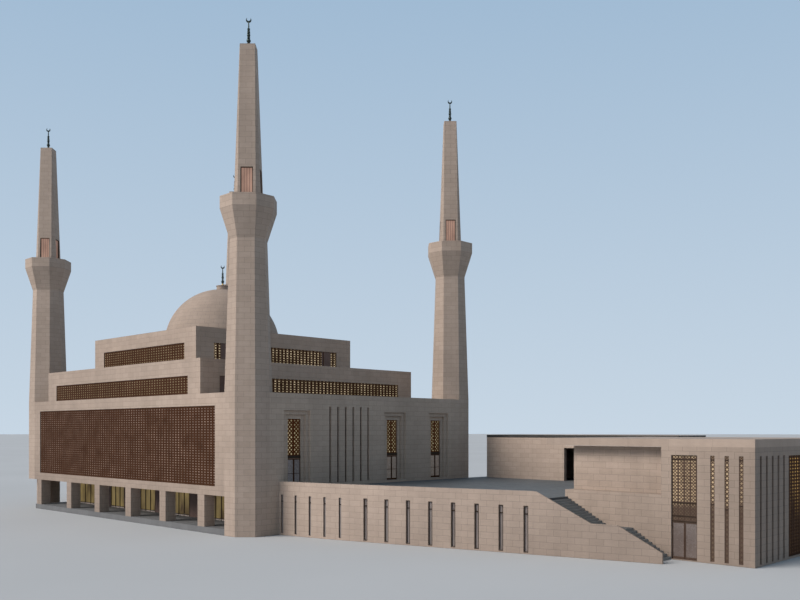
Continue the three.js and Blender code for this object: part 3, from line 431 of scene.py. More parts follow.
class Piece:
    """Closed slabs gathered into one mesh. Sizes are real metres, mapped by spot(u, v, w)."""

    def __init__(self, spot=place):
        self.spot = spot
        self.points = []
        self.faces = []
        self.marks = []

    def slab(self, outline, near, far, mark=METAL, spot=None):
        spot = spot or self.spot
        count = len(outline)
        start = len(self.points)
        self.points += [spot(u, v, w) for w in (near, far) for u, v in outline]
        self.faces.append([start + i for i in range(count)])
        self.faces.append([start + count + i for i in reversed(range(count))])
        for i in range(count):
            j = (i + 1) % count
            self.faces.append([start + j, start + i, start + count + i, start + count + j])
        self.marks += [mark] * (count + 2)

    def bar(self, u, v, w, mark=METAL, spot=None):
        self.slab([(u[0], v[0]), (u[1], v[0]), (u[1], v[1]), (u[0], v[1])], w[0], w[1], mark, spot)

    def lathe(self, profile, centre, sides, mark=METAL):
        """A closed profile of (radius, height) turned round the axis; it starts and ends on the axis."""
        start = len(self.points)
        rings = profile[1:-1]
        self.points.append(place(*centre, profile[0][1]))
        for radius, height in rings:
            for i in range(sides):
                angle = 2 * math.pi * i / sides
                x = centre[0] + radius * math.cos(angle)
                y = centre[1] + radius * math.sin(angle)
                self.points.append(place(x, y, height))
        self.points.append(place(*centre, profile[-1][1]))
        end = len(self.points) - 1
        last_ring = end - sides
        for i in range(sides):
            j = (i + 1) % sides
            self.faces.append([start, start + 1 + j, start + 1 + i])
            for ring in range(start + 1, last_ring, sides):
                self.faces.append([ring + i, ring + j, ring + sides + j, ring + sides + i])
            self.faces.append([last_ring + i, last_ring + j, end])
        self.marks += [mark] * (sides * (len(rings) + 1))

    def finish(self, name, materials, slot, body="building", replaced=(), smooth=False):
        mesh = bpy.data.meshes.new(name)
        mesh.from_pydata(self.points, [], self.faces)
        for material in materials:
            mesh.materials.append(material)
        mesh.polygons.foreach_set("material_index", self.marks)
        shape = bmesh.new()
        shape.from_mesh(mesh)
        bmesh.ops.recalc_face_normals(shape, faces=shape.faces)
        shape.to_mesh(mesh)
        shape.free()
        if smooth:
            mesh.polygons.foreach_set("use_smooth", [True] * len(mesh.polygons))
            mesh.set_sharp_from_angle(angle=SHARP_EDGE)
        piece = bpy.data.objects.new(name, mesh)
        bpy.context.scene.collection.objects.link(piece)
        if replaced:
            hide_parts(*replaced)
        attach(piece, body)


def wall_along_x(y, inward):
    """Maps distance along a wall that runs along x, height and depth into the wall."""
    return lambda u, v, w: place(u, y + inward * w, v)


def wall_along_y(x, inward):
    """Maps distance along a wall that runs along y, height and depth into the wall."""
    return lambda u, v, w: place(x + inward * w, u, v)


def clipped(outline, u, v):
    """A convex outline cut to a rectangle."""
    for axis, limit, keep in ((0, u[0], 1), (0, u[1], -1), (1, v[0], 1), (1, v[1], -1)):
        kept = []
        for i, a in enumerate(outline):
            b = outline[(i + 1) % len(outline)]
            inside_a = keep * (a[axis] - limit)
            inside_b = keep * (b[axis] - limit)
            if inside_a >= 0:
                kept.append(a)
            if inside_a * inside_b < 0:
                t = inside_a / (inside_a - inside_b)
                kept.append((a[0] + t * (b[0] - a[0]), a[1] + t * (b[1] - a[1])))
        outline = kept
        if len(outline) < 3:
            return []
    return outline


def frame_bars(piece, u, v, rim, w, mark=METAL, spot=None):
    piece.bar((u[0], u[0] + rim), v, w, mark, spot)
    piece.bar((u[1] - rim, u[1]), v, w, mark, spot)
    piece.bar((u[0] + rim, u[1] - rim), (v[0], v[0] + rim), w, mark, spot)
    piece.bar((u[0] + rim, u[1] - rim), (v[1] - rim, v[1]), w, mark, spot)


# Shares of a lattice's depth, one for each kind of bar, so that no two kinds have a face in common
UPRIGHT_LAYER = (0.0, 1.0)
LEVEL_LAYER = (0.06, 0.94)
RISING_LAYER = (0.12, 0.56)
FALLING_LAYER = (0.44, 0.88)
FRAME_LAYER = (-0.05, 1.05)


def star_lattice(piece, u, v, cells, w, bar, rim, gap=0, upright=0, level=0, mark=METAL, spot=None):
    """Bars along the diagonals of the cells, doubled if there is a gap, with bars along the cells' edges.
    Where they cross they leave small diamonds."""
    columns, rows = cells
    cell_u = (u[1] - u[0]) / columns
    cell_v = (v[1] - v[0]) / rows
    inner_u = (u[0] + rim, u[1] - rim)
    inner_v = (v[0] + rim, v[1] - rim)

    def depths(layer):
        depth = w[1] - w[0]
        return w[0] + layer[0] * depth, w[0] + layer[1] * depth

    if upright:
        for i in range(1, math.ceil(columns)):
            at = u[0] + i * cell_u
            piece.bar((at - upright / 2, at + upright / 2), inner_v, depths(UPRIGHT_LAYER), mark, spot)
    if level:
        for j in range(1, math.ceil(rows)):
            at = v[0] + j * cell_v
            if at + level / 2 < inner_v[1]:
                piece.bar(inner_u, (at - level / 2, at + level / 2), depths(LEVEL_LAYER), mark, spot)

    clip_u = (u[0] + rim / 2, u[1] - rim / 2)
    clip_v = (v[0] + rim / 2, v[1] - rim / 2)
    length = math.hypot(cell_u, cell_v)
    reach = max(rows, columns) + 1
    shifts = (-(gap + bar) / 2, (gap + bar) / 2) if gap else (0.0,)
    for turn, foot, layer in ((1, v[0], RISING_LAYER), (-1, v[1], FALLING_LAYER)):
        step = (cell_u, turn * cell_v)
        normal = (-step[1] / length, step[0] / length)
        for k in range(-math.ceil(rows), math.ceil(columns) + 1):
            for shift in shifts:
                corners = []
                for edge, ends in ((shift - bar / 2, (-reach, reach)), (shift + bar / 2, (reach, -reach))):
                    base = (u[0] + k * cell_u + normal[0] * edge, foot + normal[1] * edge)
                    corners += [(base[0] + end * step[0], base[1] + end * step[1]) for end in ends]
                outline = clipped(corners, clip_u, clip_v)
                if outline:
                    piece.slab(outline, *depths(layer), mark, spot)
    frame_bars(piece, u, v, rim, depths(FRAME_LAYER), mark, spot)


# Large windows of the front and back walls

SCREEN_X = (-37.03, -3.91)
SCREEN_Z = (3.892, 10.468)
SCREEN_CELLS = (74, 30)
FINE_LATTICE = {"bar": 0.08, "rim": 0.03}
FINE_DEPTH = (0.06, 0.095)
FRONT_UPRIGHT = 0.2
SCREEN_PANE_DEPTH = (0.1, 0.17)


def hall_screens():
    for name, y, inward in (("front", 0.0, 1), ("back", HALL_WIDTH, -1)):
        screen = Piece(wall_along_x(y, inward))
        star_lattice(
            screen, SCREEN_X, SCREEN_Z, SCREEN_CELLS, FINE_DEPTH, **FINE_LATTICE, upright=FRONT_UPRIGHT,
        )
        screen.bar(SCREEN_X, SCREEN_Z, SCREEN_PANE_DEPTH, PANE)
        screen.finish(
            f"{name}_star_screen", [bronze, screen_glass], "bronze_screen", replaced=[f"{name}_screen"],
        )


hall_screens()

# Ribbon windows of the two upper tiers, a few cells closed by panels on the court's side

TIERS = {
    2: ((-34.95, -6.05), (0.0, 25.35), (11.5, 13.07)),
    3: ((-30.0, -11.0), (2.75, 21.35), (14.75, 16.4)),
}
CLOSED_PARTS = {2: [(1.93, 2.9)], 3: [(5.4, 6.6), (17.5, 18.7)]}
RIBBON_MARGIN = 1.9
RIBBON_CELL = (0.4375, 0.223)
SIDE_UPRIGHT = 0.14
RIBBON_PANE_DEPTH = (0.1, 0.12)
POST_EVERY = 5
POST_HALF = 0.06
POST_INSET = 0.04
POST_DEPTH = (0.055, 0.097)
CLOSED_INSET = 0.03
CLOSED_DEPTH = (0.058, 0.1)


def ribbon_window(ribbon, span, z, spot, upright):
    columns = round((span[1] - span[0]) / RIBBON_CELL[0])
    rows = round((z[1] - z[0]) / RIBBON_CELL[1])
    star_lattice(ribbon, span, z, (columns, rows), FINE_DEPTH, **FINE_LATTICE, upright=upright, spot=spot)
    ribbon.bar(span, z, RIBBON_PANE_DEPTH, PANE, spot)
    post_z = (z[0] + POST_INSET, z[1] - POST_INSET)
    for k in range(POST_EVERY, columns, POST_EVERY):
        at = span[0] + (span[1] - span[0]) * k / columns
        ribbon.bar((at - POST_HALF, at + POST_HALF), post_z, POST_DEPTH, METAL, spot)


def tier_ribbons():
    for tier, (x, y, z) in TIERS.items():
        ribbon = Piece()
        reach_x = (x[0] + RIBBON_MARGIN, x[1] - RIBBON_MARGIN)
        reach_y = (y[0] + RIBBON_MARGIN, y[1] - RIBBON_MARGIN)
        court_side = wall_along_y(x[1], -1)
        ribbon_window(ribbon, reach_x, z, wall_along_x(y[0], 1), FRONT_UPRIGHT)
        ribbon_window(ribbon, reach_x, z, wall_along_x(y[1], -1), FRONT_UPRIGHT)
        ribbon_window(ribbon, reach_y, z, court_side, SIDE_UPRIGHT)
        ribbon_window(ribbon, reach_y, z, wall_along_y(x[0], 1), SIDE_UPRIGHT)
        closed_z = (z[0] + CLOSED_INSET, z[1] - CLOSED_INSET)
        for span in CLOSED_PARTS[tier]:
            ribbon.bar(span, closed_z, CLOSED_DEPTH, EXTRA, court_side)
        ribbon.finish(f"tier{tier}_star_ribbon", [bronze, ribbon_glass, panel_metal], "bronze_screen")


tier_ribbons()

# Portals of the right wall, and the windows that answer them in the left wall

STAR_LATTICE = {"bar": 0.12, "gap": 0.11, "rim": 0.05, "upright": 0.15}
PORTAL_CELLS = (2, 4.4)
PORTAL_LATTICE_DEPTH = (0.53, 0.56)
PORTAL_PANE_DEPTH = (0.57, 0.59)
TRANSOM = 0.26
TRANSOM_DEPTH = (0.475, 0.565)
TRANSOM_RIDGE = (0.12, 0.14)
TRANSOM_RIDGE_DEPTH = (0.468, 0.476)
PANE_FOOT = 0.2
LEFT_WINDOW_HALF = PORTAL_HALF + 0.01
LEFT_WINDOW_Z = (4.89, 9.41)
LEFT_CELLS = (2, 6.5)
LEFT_LATTICE_DEPTH = (0.35, 0.38)
LEFT_PANE_DEPTH = (0.39, 0.41)


def court_portals():
    top = PORTAL_TOP - OPENING_GAP
    lattice_z = (DOOR_HEAD + TRANSOM, top)
    transom_z = (DOOR_HEAD + OPENING_GAP, DOOR_HEAD + TRANSOM)
    ridge_z = (DOOR_HEAD + TRANSOM_RIDGE[0], DOOR_HEAD + TRANSOM_RIDGE[1])
    for number, centre in enumerate(PORTALS, 1):
        portal = Piece(wall_along_y(0.0, -1))
        span = (centre - PORTAL_HALF + OPENING_GAP, centre + PORTAL_HALF - OPENING_GAP)
        star_lattice(portal, span, lattice_z, PORTAL_CELLS, PORTAL_LATTICE_DEPTH, **STAR_LATTICE, mark=EXTRA)
        portal.bar(span, transom_z, TRANSOM_DEPTH)
        portal.bar(span, ridge_z, TRANSOM_RIDGE_DEPTH)
        portal.bar(span, (DOOR_HEAD + PANE_FOOT, top), PORTAL_PANE_DEPTH, PANE)
        portal.finish(
            f"portal_{number}_star_screen", [dark_bronze, portal_glass, red_bronze], "bronze_screen",
            replaced=[f"portal_screen_{number}"],
        )


def left_windows():
    windows = Piece(wall_along_y(-HALL_LENGTH, 1))
    for centre in PORTALS:
        span = (centre - LEFT_WINDOW_HALF, centre + LEFT_WINDOW_HALF)
        star_lattice(windows, span, LEFT_WINDOW_Z, LEFT_CELLS, LEFT_LATTICE_DEPTH, **STAR_LATTICE)
        windows.bar(span, LEFT_WINDOW_Z, LEFT_PANE_DEPTH, PANE)
    windows.finish("left_star_windows", [red_bronze, portal_glass], "bronze_screen")


court_portals()
left_windows()

# Slot windows of the hall, each with three cross bars

HALL_SLOTS = [9.01 + 0.894 * i for i in range(6)]
HALL_SLOT_HALF = 0.118
HALL_SLOT_Z = (3.95, 10.49)
HALL_SLOT_RIM = 0.04
HALL_SLOT_FRAME_DEPTH = (0.16, 0.34)
HALL_SLOT_PANE_DEPTH = (0.3, 0.32)
HALL_SLOT_BARS = (6.1, 6.9, 10.15)
HALL_SLOT_BAR_HALF = 0.03
HALL_SLOT_BAR_DEPTH = (0.16, 0.33)


def hall_slots():
    for name, spot in (("right", wall_along_y(0.0, -1)), ("left", wall_along_y(-HALL_LENGTH, 1))):
        slots = Piece(spot)
        for centre in HALL_SLOTS:
            span = (centre - HALL_SLOT_HALF, centre + HALL_SLOT_HALF)
            slots.bar(span, HALL_SLOT_Z, HALL_SLOT_PANE_DEPTH, PANE)
            frame_bars(slots, span, HALL_SLOT_Z, HALL_SLOT_RIM, HALL_SLOT_FRAME_DEPTH)
            for z in HALL_SLOT_BARS:
                slots.bar(span, (z - HALL_SLOT_BAR_HALF, z + HALL_SLOT_BAR_HALF), HALL_SLOT_BAR_DEPTH)
        slots.finish(f"{name}_slot_windows", [dark_bronze, slot_glass], "window_glass")


hall_slots()

# Door leaves: a rounded hinge stile on its pivots, stiles and rails, and a pane

LEAF_CLEARANCE = 0.012
LEAF_HALF = 0.03
HINGE_STILE = 0.04
LOCK_STILE = 0.06
STILE_STEPS = 8
PIVOT_RADIUS = 0.015
PIVOT_SIDES = 12
PIVOT_GAP = 0.001
RAIL_HALF = 0.028
FOOT_RAIL = 0.14
HEAD_RAIL = 0.06
MIDDLE_RAIL = (0.95, 0.99)
LEAF_PANE_HALF = 0.008
LEAF_PANE_INSET = (0.1, 0.05)
BEAD = 0.015
BEAD_PLACE = 0.02
BEAD_HALF = 0.006
ANNEX_DOOR_Z = (0.05, 2.49)
ANNEX_DOOR_PLANE = ANNEX_FRONT + 0.15


def door_leaf(name, jamb, middle, z, spot, glass, metal_finish, middle_rail=True):
    turn = 1 if middle > jamb else -1
    axis = jamb + turn * (LEAF_CLEARANCE + LEAF_HALF)
    lock = middle - turn * LEAF_CLEARANCE
    low, high = z[0] + LEAF_CLEARANCE, z[1] - LEAF_CLEARANCE
    leaf = Piece(spot)
    stile = [(axis + turn * HINGE_STILE, -LEAF_HALF), (axis + turn * HINGE_STILE, LEAF_HALF)]
    for i in range(STILE_STEPS + 1):
        angle = math.pi / 2 + math.pi * i / STILE_STEPS
        stile.append((axis + turn * LEAF_HALF * math.cos(angle), LEAF_HALF * math.sin(angle)))
    leaf.slab(stile, low, high)
    angles = [2 * math.pi * i / PIVOT_SIDES for i in range(PIVOT_SIDES)]
    pivot = [(axis + PIVOT_RADIUS * math.cos(angle), PIVOT_RADIUS * math.sin(angle)) for angle in angles]
    leaf.slab(pivot, z[0] + PIVOT_GAP, low)
    leaf.slab(pivot, high, z[1] - PIVOT_GAP)
    inner = sorted((axis + turn * HINGE_STILE, lock - turn * LOCK_STILE))
    leaf.bar(sorted((lock - turn * LOCK_STILE, lock)), (-LEAF_HALF, LEAF_HALF), (low, high))
    rails = [(low, low + FOOT_RAIL), (high - HEAD_RAIL, high)]
    if middle_rail:
        rails.append((low + MIDDLE_RAIL[0], low + MIDDLE_RAIL[1]))
    for rail in rails:
        leaf.bar(inner, (-RAIL_HALF, RAIL_HALF), rail)
    pane_z = (low + LEAF_PANE_INSET[0], high - LEAF_PANE_INSET[1])
    leaf.bar(inner, (-LEAF_PANE_HALF, LEAF_PANE_HALF), pane_z, PANE)
    foot_bead = (low + FOOT_RAIL, low + FOOT_RAIL + BEAD)
    head_bead = (high - HEAD_RAIL - BEAD, high - HEAD_RAIL)
    for across in (-BEAD_PLACE, BEAD_PLACE):
        for bead in (foot_bead, head_bead):
            leaf.bar(inner, (across - BEAD_HALF, across + BEAD_HALF), bead)
    leaf.finish(f"{name}_leaf", [metal_finish, glass], "door_metal", name, [name])


def in_side_wall(along, across, z):
    return place(-DOOR_PLANE + across, along, z)


def in_annex_front(along, across, z):
    return place(along, ANNEX_DOOR_PLANE + across, z)


def door_leaves():
    for number, centre in enumerate(PORTALS, 1):
        glass = blue_glass if number == 1 else plum_glass
        for word, jamb in (("left", centre - PORTAL_HALF), ("right", centre + PORTAL_HALF)):
            name = f"portal_door_{number}_{word}"
            door_leaf(name, jamb, centre, (MAIN_FLOOR, DOOR_HEAD), in_side_wall, glass, bronze)
    middle = sum(ANNEX_PORTAL_X) / 2
    for word, jamb in zip(("left", "right"), ANNEX_PORTAL_X):
        door_leaf(
            f"annex_door_{word}", jamb, middle, ANNEX_DOOR_Z, in_annex_front, annex_door_glass, sun_bronze,
            middle_rail=False,
        )


door_leaves()

# Arcade: lit glass between closed panels, with thin posts and rails

PILLARS = [-5.95 - 6.05 * i for i in range(5)] + [-37.2]
GLAZING_Y = 3.75
GLAZING_X = (-37.799, -0.601)
GLAZING_Z = (0.502, 3.148)
GLAZING_DEPTH = (0.06, 0.09)
PANEL_HALF = 1.65
PANEL_Z = (0.51, 3.14)
PANEL_DEPTH = (0.0, 0.06)
PANELS_END = -37.79
EDGE_HALF = 0.03
EDGE_Z = (0.505, 3.145)
EDGE_DEPTH = (-0.012, 0.062)
EDGES_END = -37.795
SEAM_HALF = 0.01
SEAM_Z = (0.52, 3.13)
SEAM_DEPTH = (-0.006, 0.02)
BAYS_END = -0.61
BAY_PANES = 3
BAY_POST_HALF = 0.04
BAY_POST_DEPTH = (0.0, 0.062)
SILL_AND_RAILS = (((0.505, 0.62), SILL), ((0.62, 0.68), METAL), ((3.09, 3.145), METAL))
RAIL_DEPTH = (0.004, 0.062)


def arcade_glazing():
    glazing = Piece(wall_along_x(GLAZING_Y, 1))
    glazing.bar(GLAZING_X, GLAZING_Z, GLAZING_DEPTH, PANE)
    panels = [(max(x - PANEL_HALF, PANELS_END), x + PANEL_HALF) for x in PILLARS]
    for panel in panels:
        glazing.bar(panel, PANEL_Z, PANEL_DEPTH, EXTRA)
        for edge in panel:
            glazing.bar((max(edge - EDGE_HALF, EDGES_END), edge + EDGE_HALF), EDGE_Z, EDGE_DEPTH)
        middle = sum(panel) / 2
        glazing.bar((middle - SEAM_HALF, middle + SEAM_HALF), SEAM_Z, SEAM_DEPTH)
    ends = [BAYS_END] + [panel[0] for panel in panels]
    for panel, end in zip(panels, ends):
        for k in range(1, BAY_PANES):
            at = panel[1] + (end - panel[1]) * k / BAY_PANES
            glazing.bar((at - BAY_POST_HALF, at + BAY_POST_HALF), PANEL_Z, BAY_POST_DEPTH)
        for z, mark in SILL_AND_RAILS:
            glazing.bar((panel[1], end), z, RAIL_DEPTH, mark)
    glazing.finish(
        "arcade_glazing", [dark_bronze, arcade_glass, panel_metal, trim_stone], "window_glass",
        replaced=["ground_glazing"],
    )


arcade_glazing()

# Court wall: framed slots along an arc and a straight run

ARC_RADIUS = 65.0
ARC_START = math.radians(7.2)
ARC_END = math.radians(14.6)
ARC_LENGTH = ARC_RADIUS * (ARC_END - ARC_START)
COURT_WALL_Y = 3.5
ARC_SLOTS = [0.35 + 1.48 * i for i in range(5)]
STRAIGHT_SLOTS = [ARC_LENGTH + 0.2 + 1.845 * i for i in range(8)]
COURT_SLOT = ((-0.135, 0.135), (0.14, 3.26))
COURT_SLOT_RIM = 0.03
COURT_FRAME_DEPTH = (0.06, 0.16)
COURT_PANE_DEPTH = (0.12, 0.14)
COURT_BAR_Z = (2.7, 2.77)
COURT_BAR_DEPTH = (0.04, 0.12)
COVER = ((-0.17, 0.17), (0.105, 3.295))
COVER_RIM = 0.04
COVER_DEPTH = (-0.01, 0.06)


def court_spot(distance):
    """Maps distance along, height and depth at a slot of the court wall."""
    angle = ARC_START + min(distance, ARC_LENGTH) / ARC_RADIUS
    beyond = max(distance - ARC_LENGTH, 0)
    cos, sin = math.cos(angle), math.sin(angle)
    x = ARC_RADIUS * (sin - math.sin(ARC_START)) + beyond * cos
    y = COURT_WALL_Y + ARC_RADIUS * (math.cos(ARC_START) - cos) + beyond * sin
    return lambda u, v, w: place(x + u * cos - w * sin, y + u * sin + w * cos, v)


def court_slots():
    """The slots of the straight run also have a flat cover frame."""
    slots = Piece()
    for distance in ARC_SLOTS + STRAIGHT_SLOTS:
        spot = court_spot(distance)
        slots.bar(*COURT_SLOT, COURT_PANE_DEPTH, PANE, spot)
        frame_bars(slots, *COURT_SLOT, COURT_SLOT_RIM, COURT_FRAME_DEPTH, METAL, spot)
        if distance > ARC_LENGTH:
            frame_bars(slots, *COVER, COVER_RIM, COVER_DEPTH, METAL, spot)
        slots.bar(COURT_SLOT[0], COURT_BAR_Z, COURT_BAR_DEPTH, METAL, spot)
    slots.finish("court_slot_windows", [dark_bronze, court_glass], "window_glass")


court_slots()

# Minarets: framed doors in the spires, and finials

SPIRE_DOOR = ((-0.505, 0.505), (26.352, 29.555))
SPIRE_DOOR_REACH = 0.97
SPIRE_DOOR_RIM = 0.07
SPIRE_FRAME_DEPTH = (0.0, 0.14)
SPIRE_PANE_DEPTH = (0.1, 0.13)
SPIRE_PANES = 4
SPIRE_BAR_HALF = 0.012
SPIRE_BAR_INSET = 0.05
SPIRE_BAR_DEPTH = (0.09, 0.11)


def spire_spot(centre, angle):
    """Maps distance along, height and depth at a doorway of a spire."""
    cos, sin = math.cos(angle), math.sin(angle)

    def spot(u, v, w):
        out = SPIRE_DOOR_REACH - w
        return place(centre[0] + cos * out - sin * u, centre[1] + sin * out + cos * u, v)

    return spot


def spire_doors():
    doors = Piece()
    u, v = SPIRE_DOOR
    glass = (u[0] + SPIRE_DOOR_RIM, u[1] - SPIRE_DOOR_RIM)
    bar_z = (v[0] + SPIRE_BAR_INSET, v[1] - SPIRE_BAR_INSET)
    for centre in TOWERS.values():
        for quarter in range(4):
            spot = spire_spot(centre, math.radians(45 + 90 * quarter))
            doors.bar(u, v, SPIRE_PANE_DEPTH, PANE, spot)
            frame_bars(doors, u, v, SPIRE_DOOR_RIM, SPIRE_FRAME_DEPTH, METAL, spot)
            for k in range(1, SPIRE_PANES):
                at = glass[0] + (glass[1] - glass[0]) * k / SPIRE_PANES
                doors.bar((at - SPIRE_BAR_HALF, at + SPIRE_BAR_HALF), bar_z, SPIRE_BAR_DEPTH, METAL, spot)
    doors.finish("spire_doors", [dark_bronze, tower_glass], "bronze_screen")


spire_doors()

# A finial: a cone, a mast with three balls between collars, and a crescent. Its sizes are shares of its
# height, and its profiles are places (radius, height)

TOWER_FINIAL_Z = (39.561, 41.9)
DOME_FINIAL_Z = (23.501, 25.64)
BASE_METAL = 1
MAST = 0.035
CONE = ((0, 0), (0.075, 0), (0.075, 0.03), (0.05, 0.055), (MAST, 0.12), (0, 0.12))
POLE = ((0, 0.1), (0.8 * MAST, 0.1), (0.7 * MAST, 0.7), (0.5 * MAST, 0.86), (0, 0.862))
BALLS = ((0.2, 0.075), (0.4, 0.06), (0.56, 0.045))
BALL_SQUASH = 0.95
BALL_STEPS = 12
COLLAR = 0.014
COLLAR_RADIUS = 1.5 * MAST
COLLAR_REACH = 1.12
CRESCENT = 0.095
CRESCENT_TIP = math.radians(55)
CRESCENT_SHIFT = 0.4
CRESCENT_HALF = 0.25 * MAST
CRESCENT_STEPS = 24
FINIAL_SIDES = 24
COLLAR_SIDES = 20


def crescent(radius):
    """Outlines that make up a crescent with its tips up, about the centre of its outer arc."""
    tip = (radius * math.cos(CRESCENT_TIP), radius * math.sin(CRESCENT_TIP))
    inner_centre = CRESCENT_SHIFT * radius
    inner = math.hypot(tip[0], tip[1] - inner_centre)
    inner_tip = math.atan2(tip[1] - inner_centre, tip[0])
    outside, inside = [], []
    for i in range(CRESCENT_STEPS + 1):
        share = i / CRESCENT_STEPS
        a = math.pi - CRESCENT_TIP + (math.pi + 2 * CRESCENT_TIP) * share
        b = math.pi - inner_tip + (math.pi + 2 * inner_tip) * share
        outside.append((radius * math.cos(a), radius * math.sin(a)))
        inside.append((inner * math.cos(b), inner_centre + inner * math.sin(b)))
    last = CRESCENT_STEPS - 1
    outlines = [[outside[0], outside[1], inside[1]]]
    outlines += [[outside[i], outside[i + 1], inside[i + 1], inside[i]] for i in range(1, last)]
    return outlines + [[outside[last], outside[last + 1], inside[last]]]


def finial(name, node, centre, z, base_metal):
    foot, tip = z
    height = tip - foot
    piece = Piece()

    def turn(shares, sides, mark=METAL):
        profile = [(radius * height, foot + rise * height) for radius, rise in shares]
        piece.lathe(profile, centre, sides, mark)

    turn(CONE, FINIAL_SIDES, BASE_METAL)
    turn(POLE, FINIAL_SIDES)
    for at, radius in BALLS:
        ball = [(0, at - BALL_SQUASH * radius)]
        for i in range(1, BALL_STEPS):
            angle = -math.pi / 2 + math.pi * i / BALL_STEPS
            ball.append((radius * math.cos(angle), at + BALL_SQUASH * radius * math.sin(angle)))
        ball.append((0, at + BALL_SQUASH * radius))
        turn(ball, FINIAL_SIDES)
        for middle in (at - COLLAR_REACH * radius, at + COLLAR_REACH * radius):
            low, high = middle - COLLAR / 2, middle + COLLAR / 2
            turn(((0, low), (COLLAR_RADIUS, low), (COLLAR_RADIUS, high), (0, high)), COLLAR_SIDES)

    radius = CRESCENT * height
    hub = tip - radius * math.sin(CRESCENT_TIP)
    half = CRESCENT_HALF * height

    def slanted(u, v, w):
        return place(centre[0] + (u - w) * math.sqrt(0.5), centre[1] + (u + w) * math.sqrt(0.5), hub + v)

    for outline in crescent(radius):
        piece.slab(outline, -half, half, METAL, slanted)
    piece.finish(name, [finial_metal, base_metal], "finial_metal", replaced=[node], smooth=True)


for name, centre in TOWERS.items():
    finial(f"{name}_turned_finial", f"minaret_{name}_finial", centre, TOWER_FINIAL_Z, finial_metal)
finial("dome_turned_finial", "dome_finial", DOME_CENTRE[:2], DOME_FINIAL_Z, gilt)

# Dome: the same shell with a finer curve, and a cap under its finial

DOME_SHELL = 0.25
DOME_FOOT = 17.4006
CAP_RADIUS = 0.62
CAP_PROFILE = (
    (CAP_RADIUS, 23.42), (CAP_RADIUS + 0.05, 23.42), (CAP_RADIUS + 0.05, 23.47), (CAP_RADIUS - 0.03, 23.5),
    (0, 23.5),
)
INNER_STEPS = 24
OUTER_STEPS = 32
DOME_SIDES = 108


def dome_arc(radius, start, end, count):
    angles = [start + (end - start) * i / count for i in range(count + 1)]
    return [(radius * math.cos(angle), DOME_CENTRE[Z] + radius * math.sin(angle)) for angle in angles]


def dome():
    rise = DOME_FOOT - DOME_CENTRE[Z]
    inner = DOME_RADIUS - DOME_SHELL
    outer_foot = math.asin(rise / DOME_RADIUS)
    outer_top = math.acos(CAP_RADIUS / DOME_RADIUS)
    profile = dome_arc(inner, math.pi / 2, math.asin(rise / inner), INNER_STEPS)
    profile[0] = (0, profile[0][1])
    profile += dome_arc(DOME_RADIUS, outer_foot, outer_top, OUTER_STEPS)
    profile += CAP_PROFILE
    piece = Piece()
    piece.lathe(profile, DOME_CENTRE[:2], DOME_SIDES)
    piece.finish("dome_curved_shell", [dome_stone], "dome_shell", replaced=["dome"], smooth=True)


dome()

# Entrance building: star lattice over its doors, slots and side opening

ANNEX_LATTICE = {"bar": 0.05, "gap": 0.1, "rim": 0.035, "upright": 0.07, "level": 0.03}
ANNEX_COLUMNS = 4.25
ANNEX_FIELDS = (((6.58, 6.838), 0.62), ((3.76, 6.54), 6.5), ((2.9, 3.7), 1.85), ((2.56, 2.84), 0.65))
ANNEX_LATTICE_DEPTH = (0.13, 0.16)
ANNEX_RAILS = ((6.53, 6.59), (3.69, 3.77), (2.83, 2.91), (2.492, 2.565))
ANNEX_RAIL_DEPTH = (0.1, 0.19)
ANNEX_PANE = ((2.5, 6.836), (0.17, 0.19))
CHAIN_LATTICE = {"bar": 0.07, "rim": 0.04}
SLOT_HALF = 0.145
SLOT_Z = (0.11, 6.85)
FRONT_SLOTS = ((31.98, 3.77), (32.91, 3.5), (33.83, 3.77))
FRONT_LATTICE_DEPTH = (0.03, 0.06)
FRONT_PANE_DEPTH = (0.07, 0.09)
FRONT_BAR_DEPTH = (0.01, 0.09)
SIDE_MIDDLE = 20.55
SIDE_SLOTS = [6.57 - 0.93 * i for i in range(5)]
SIDE_SLOT_RIM = 0.04
SIDE_FRAME_DEPTH = (0.1, 0.28)
SIDE_PANE_DEPTH = (0.24, 0.26)
SIDE_SLOT_BARS = (2.87, 3.75, 6.55)
SIDE_BAR_HALF = 0.025
SIDE_BAR_DEPTH = (0.12, 0.27)
SIDE_OPENING = ((18.492, 22.608), (0.122, 6.798))
SIDE_CELLS = (9.5, 30.0)
SIDE_LATTICE_DEPTH = (0.12, 0.15)
SIDE_OPENING_PANE_DEPTH = (0.16, 0.18)
SIDE_OPENING_UPRIGHT = 0.12


def entrance_screen():
    screen = Piece(wall_along_x(ANNEX_FRONT, 1))
    span = (ANNEX_PORTAL_X[0] + OPENING_GAP, ANNEX_PORTAL_X[1] - OPENING_GAP)
    for z, rows in ANNEX_FIELDS:
        star_lattice(screen, span, z, (ANNEX_COLUMNS, rows), ANNEX_LATTICE_DEPTH, **ANNEX_LATTICE)
    for z in ANNEX_RAILS:
        screen.bar(span, z, ANNEX_RAIL_DEPTH, EXTRA)
    screen.bar(span, *ANNEX_PANE, PANE)
    screen.finish(
        "annex_star_screen", [sun_bronze, annex_glass, dark_bronze], "bronze_screen",
        replaced=["annex_portal_screen"],
    )


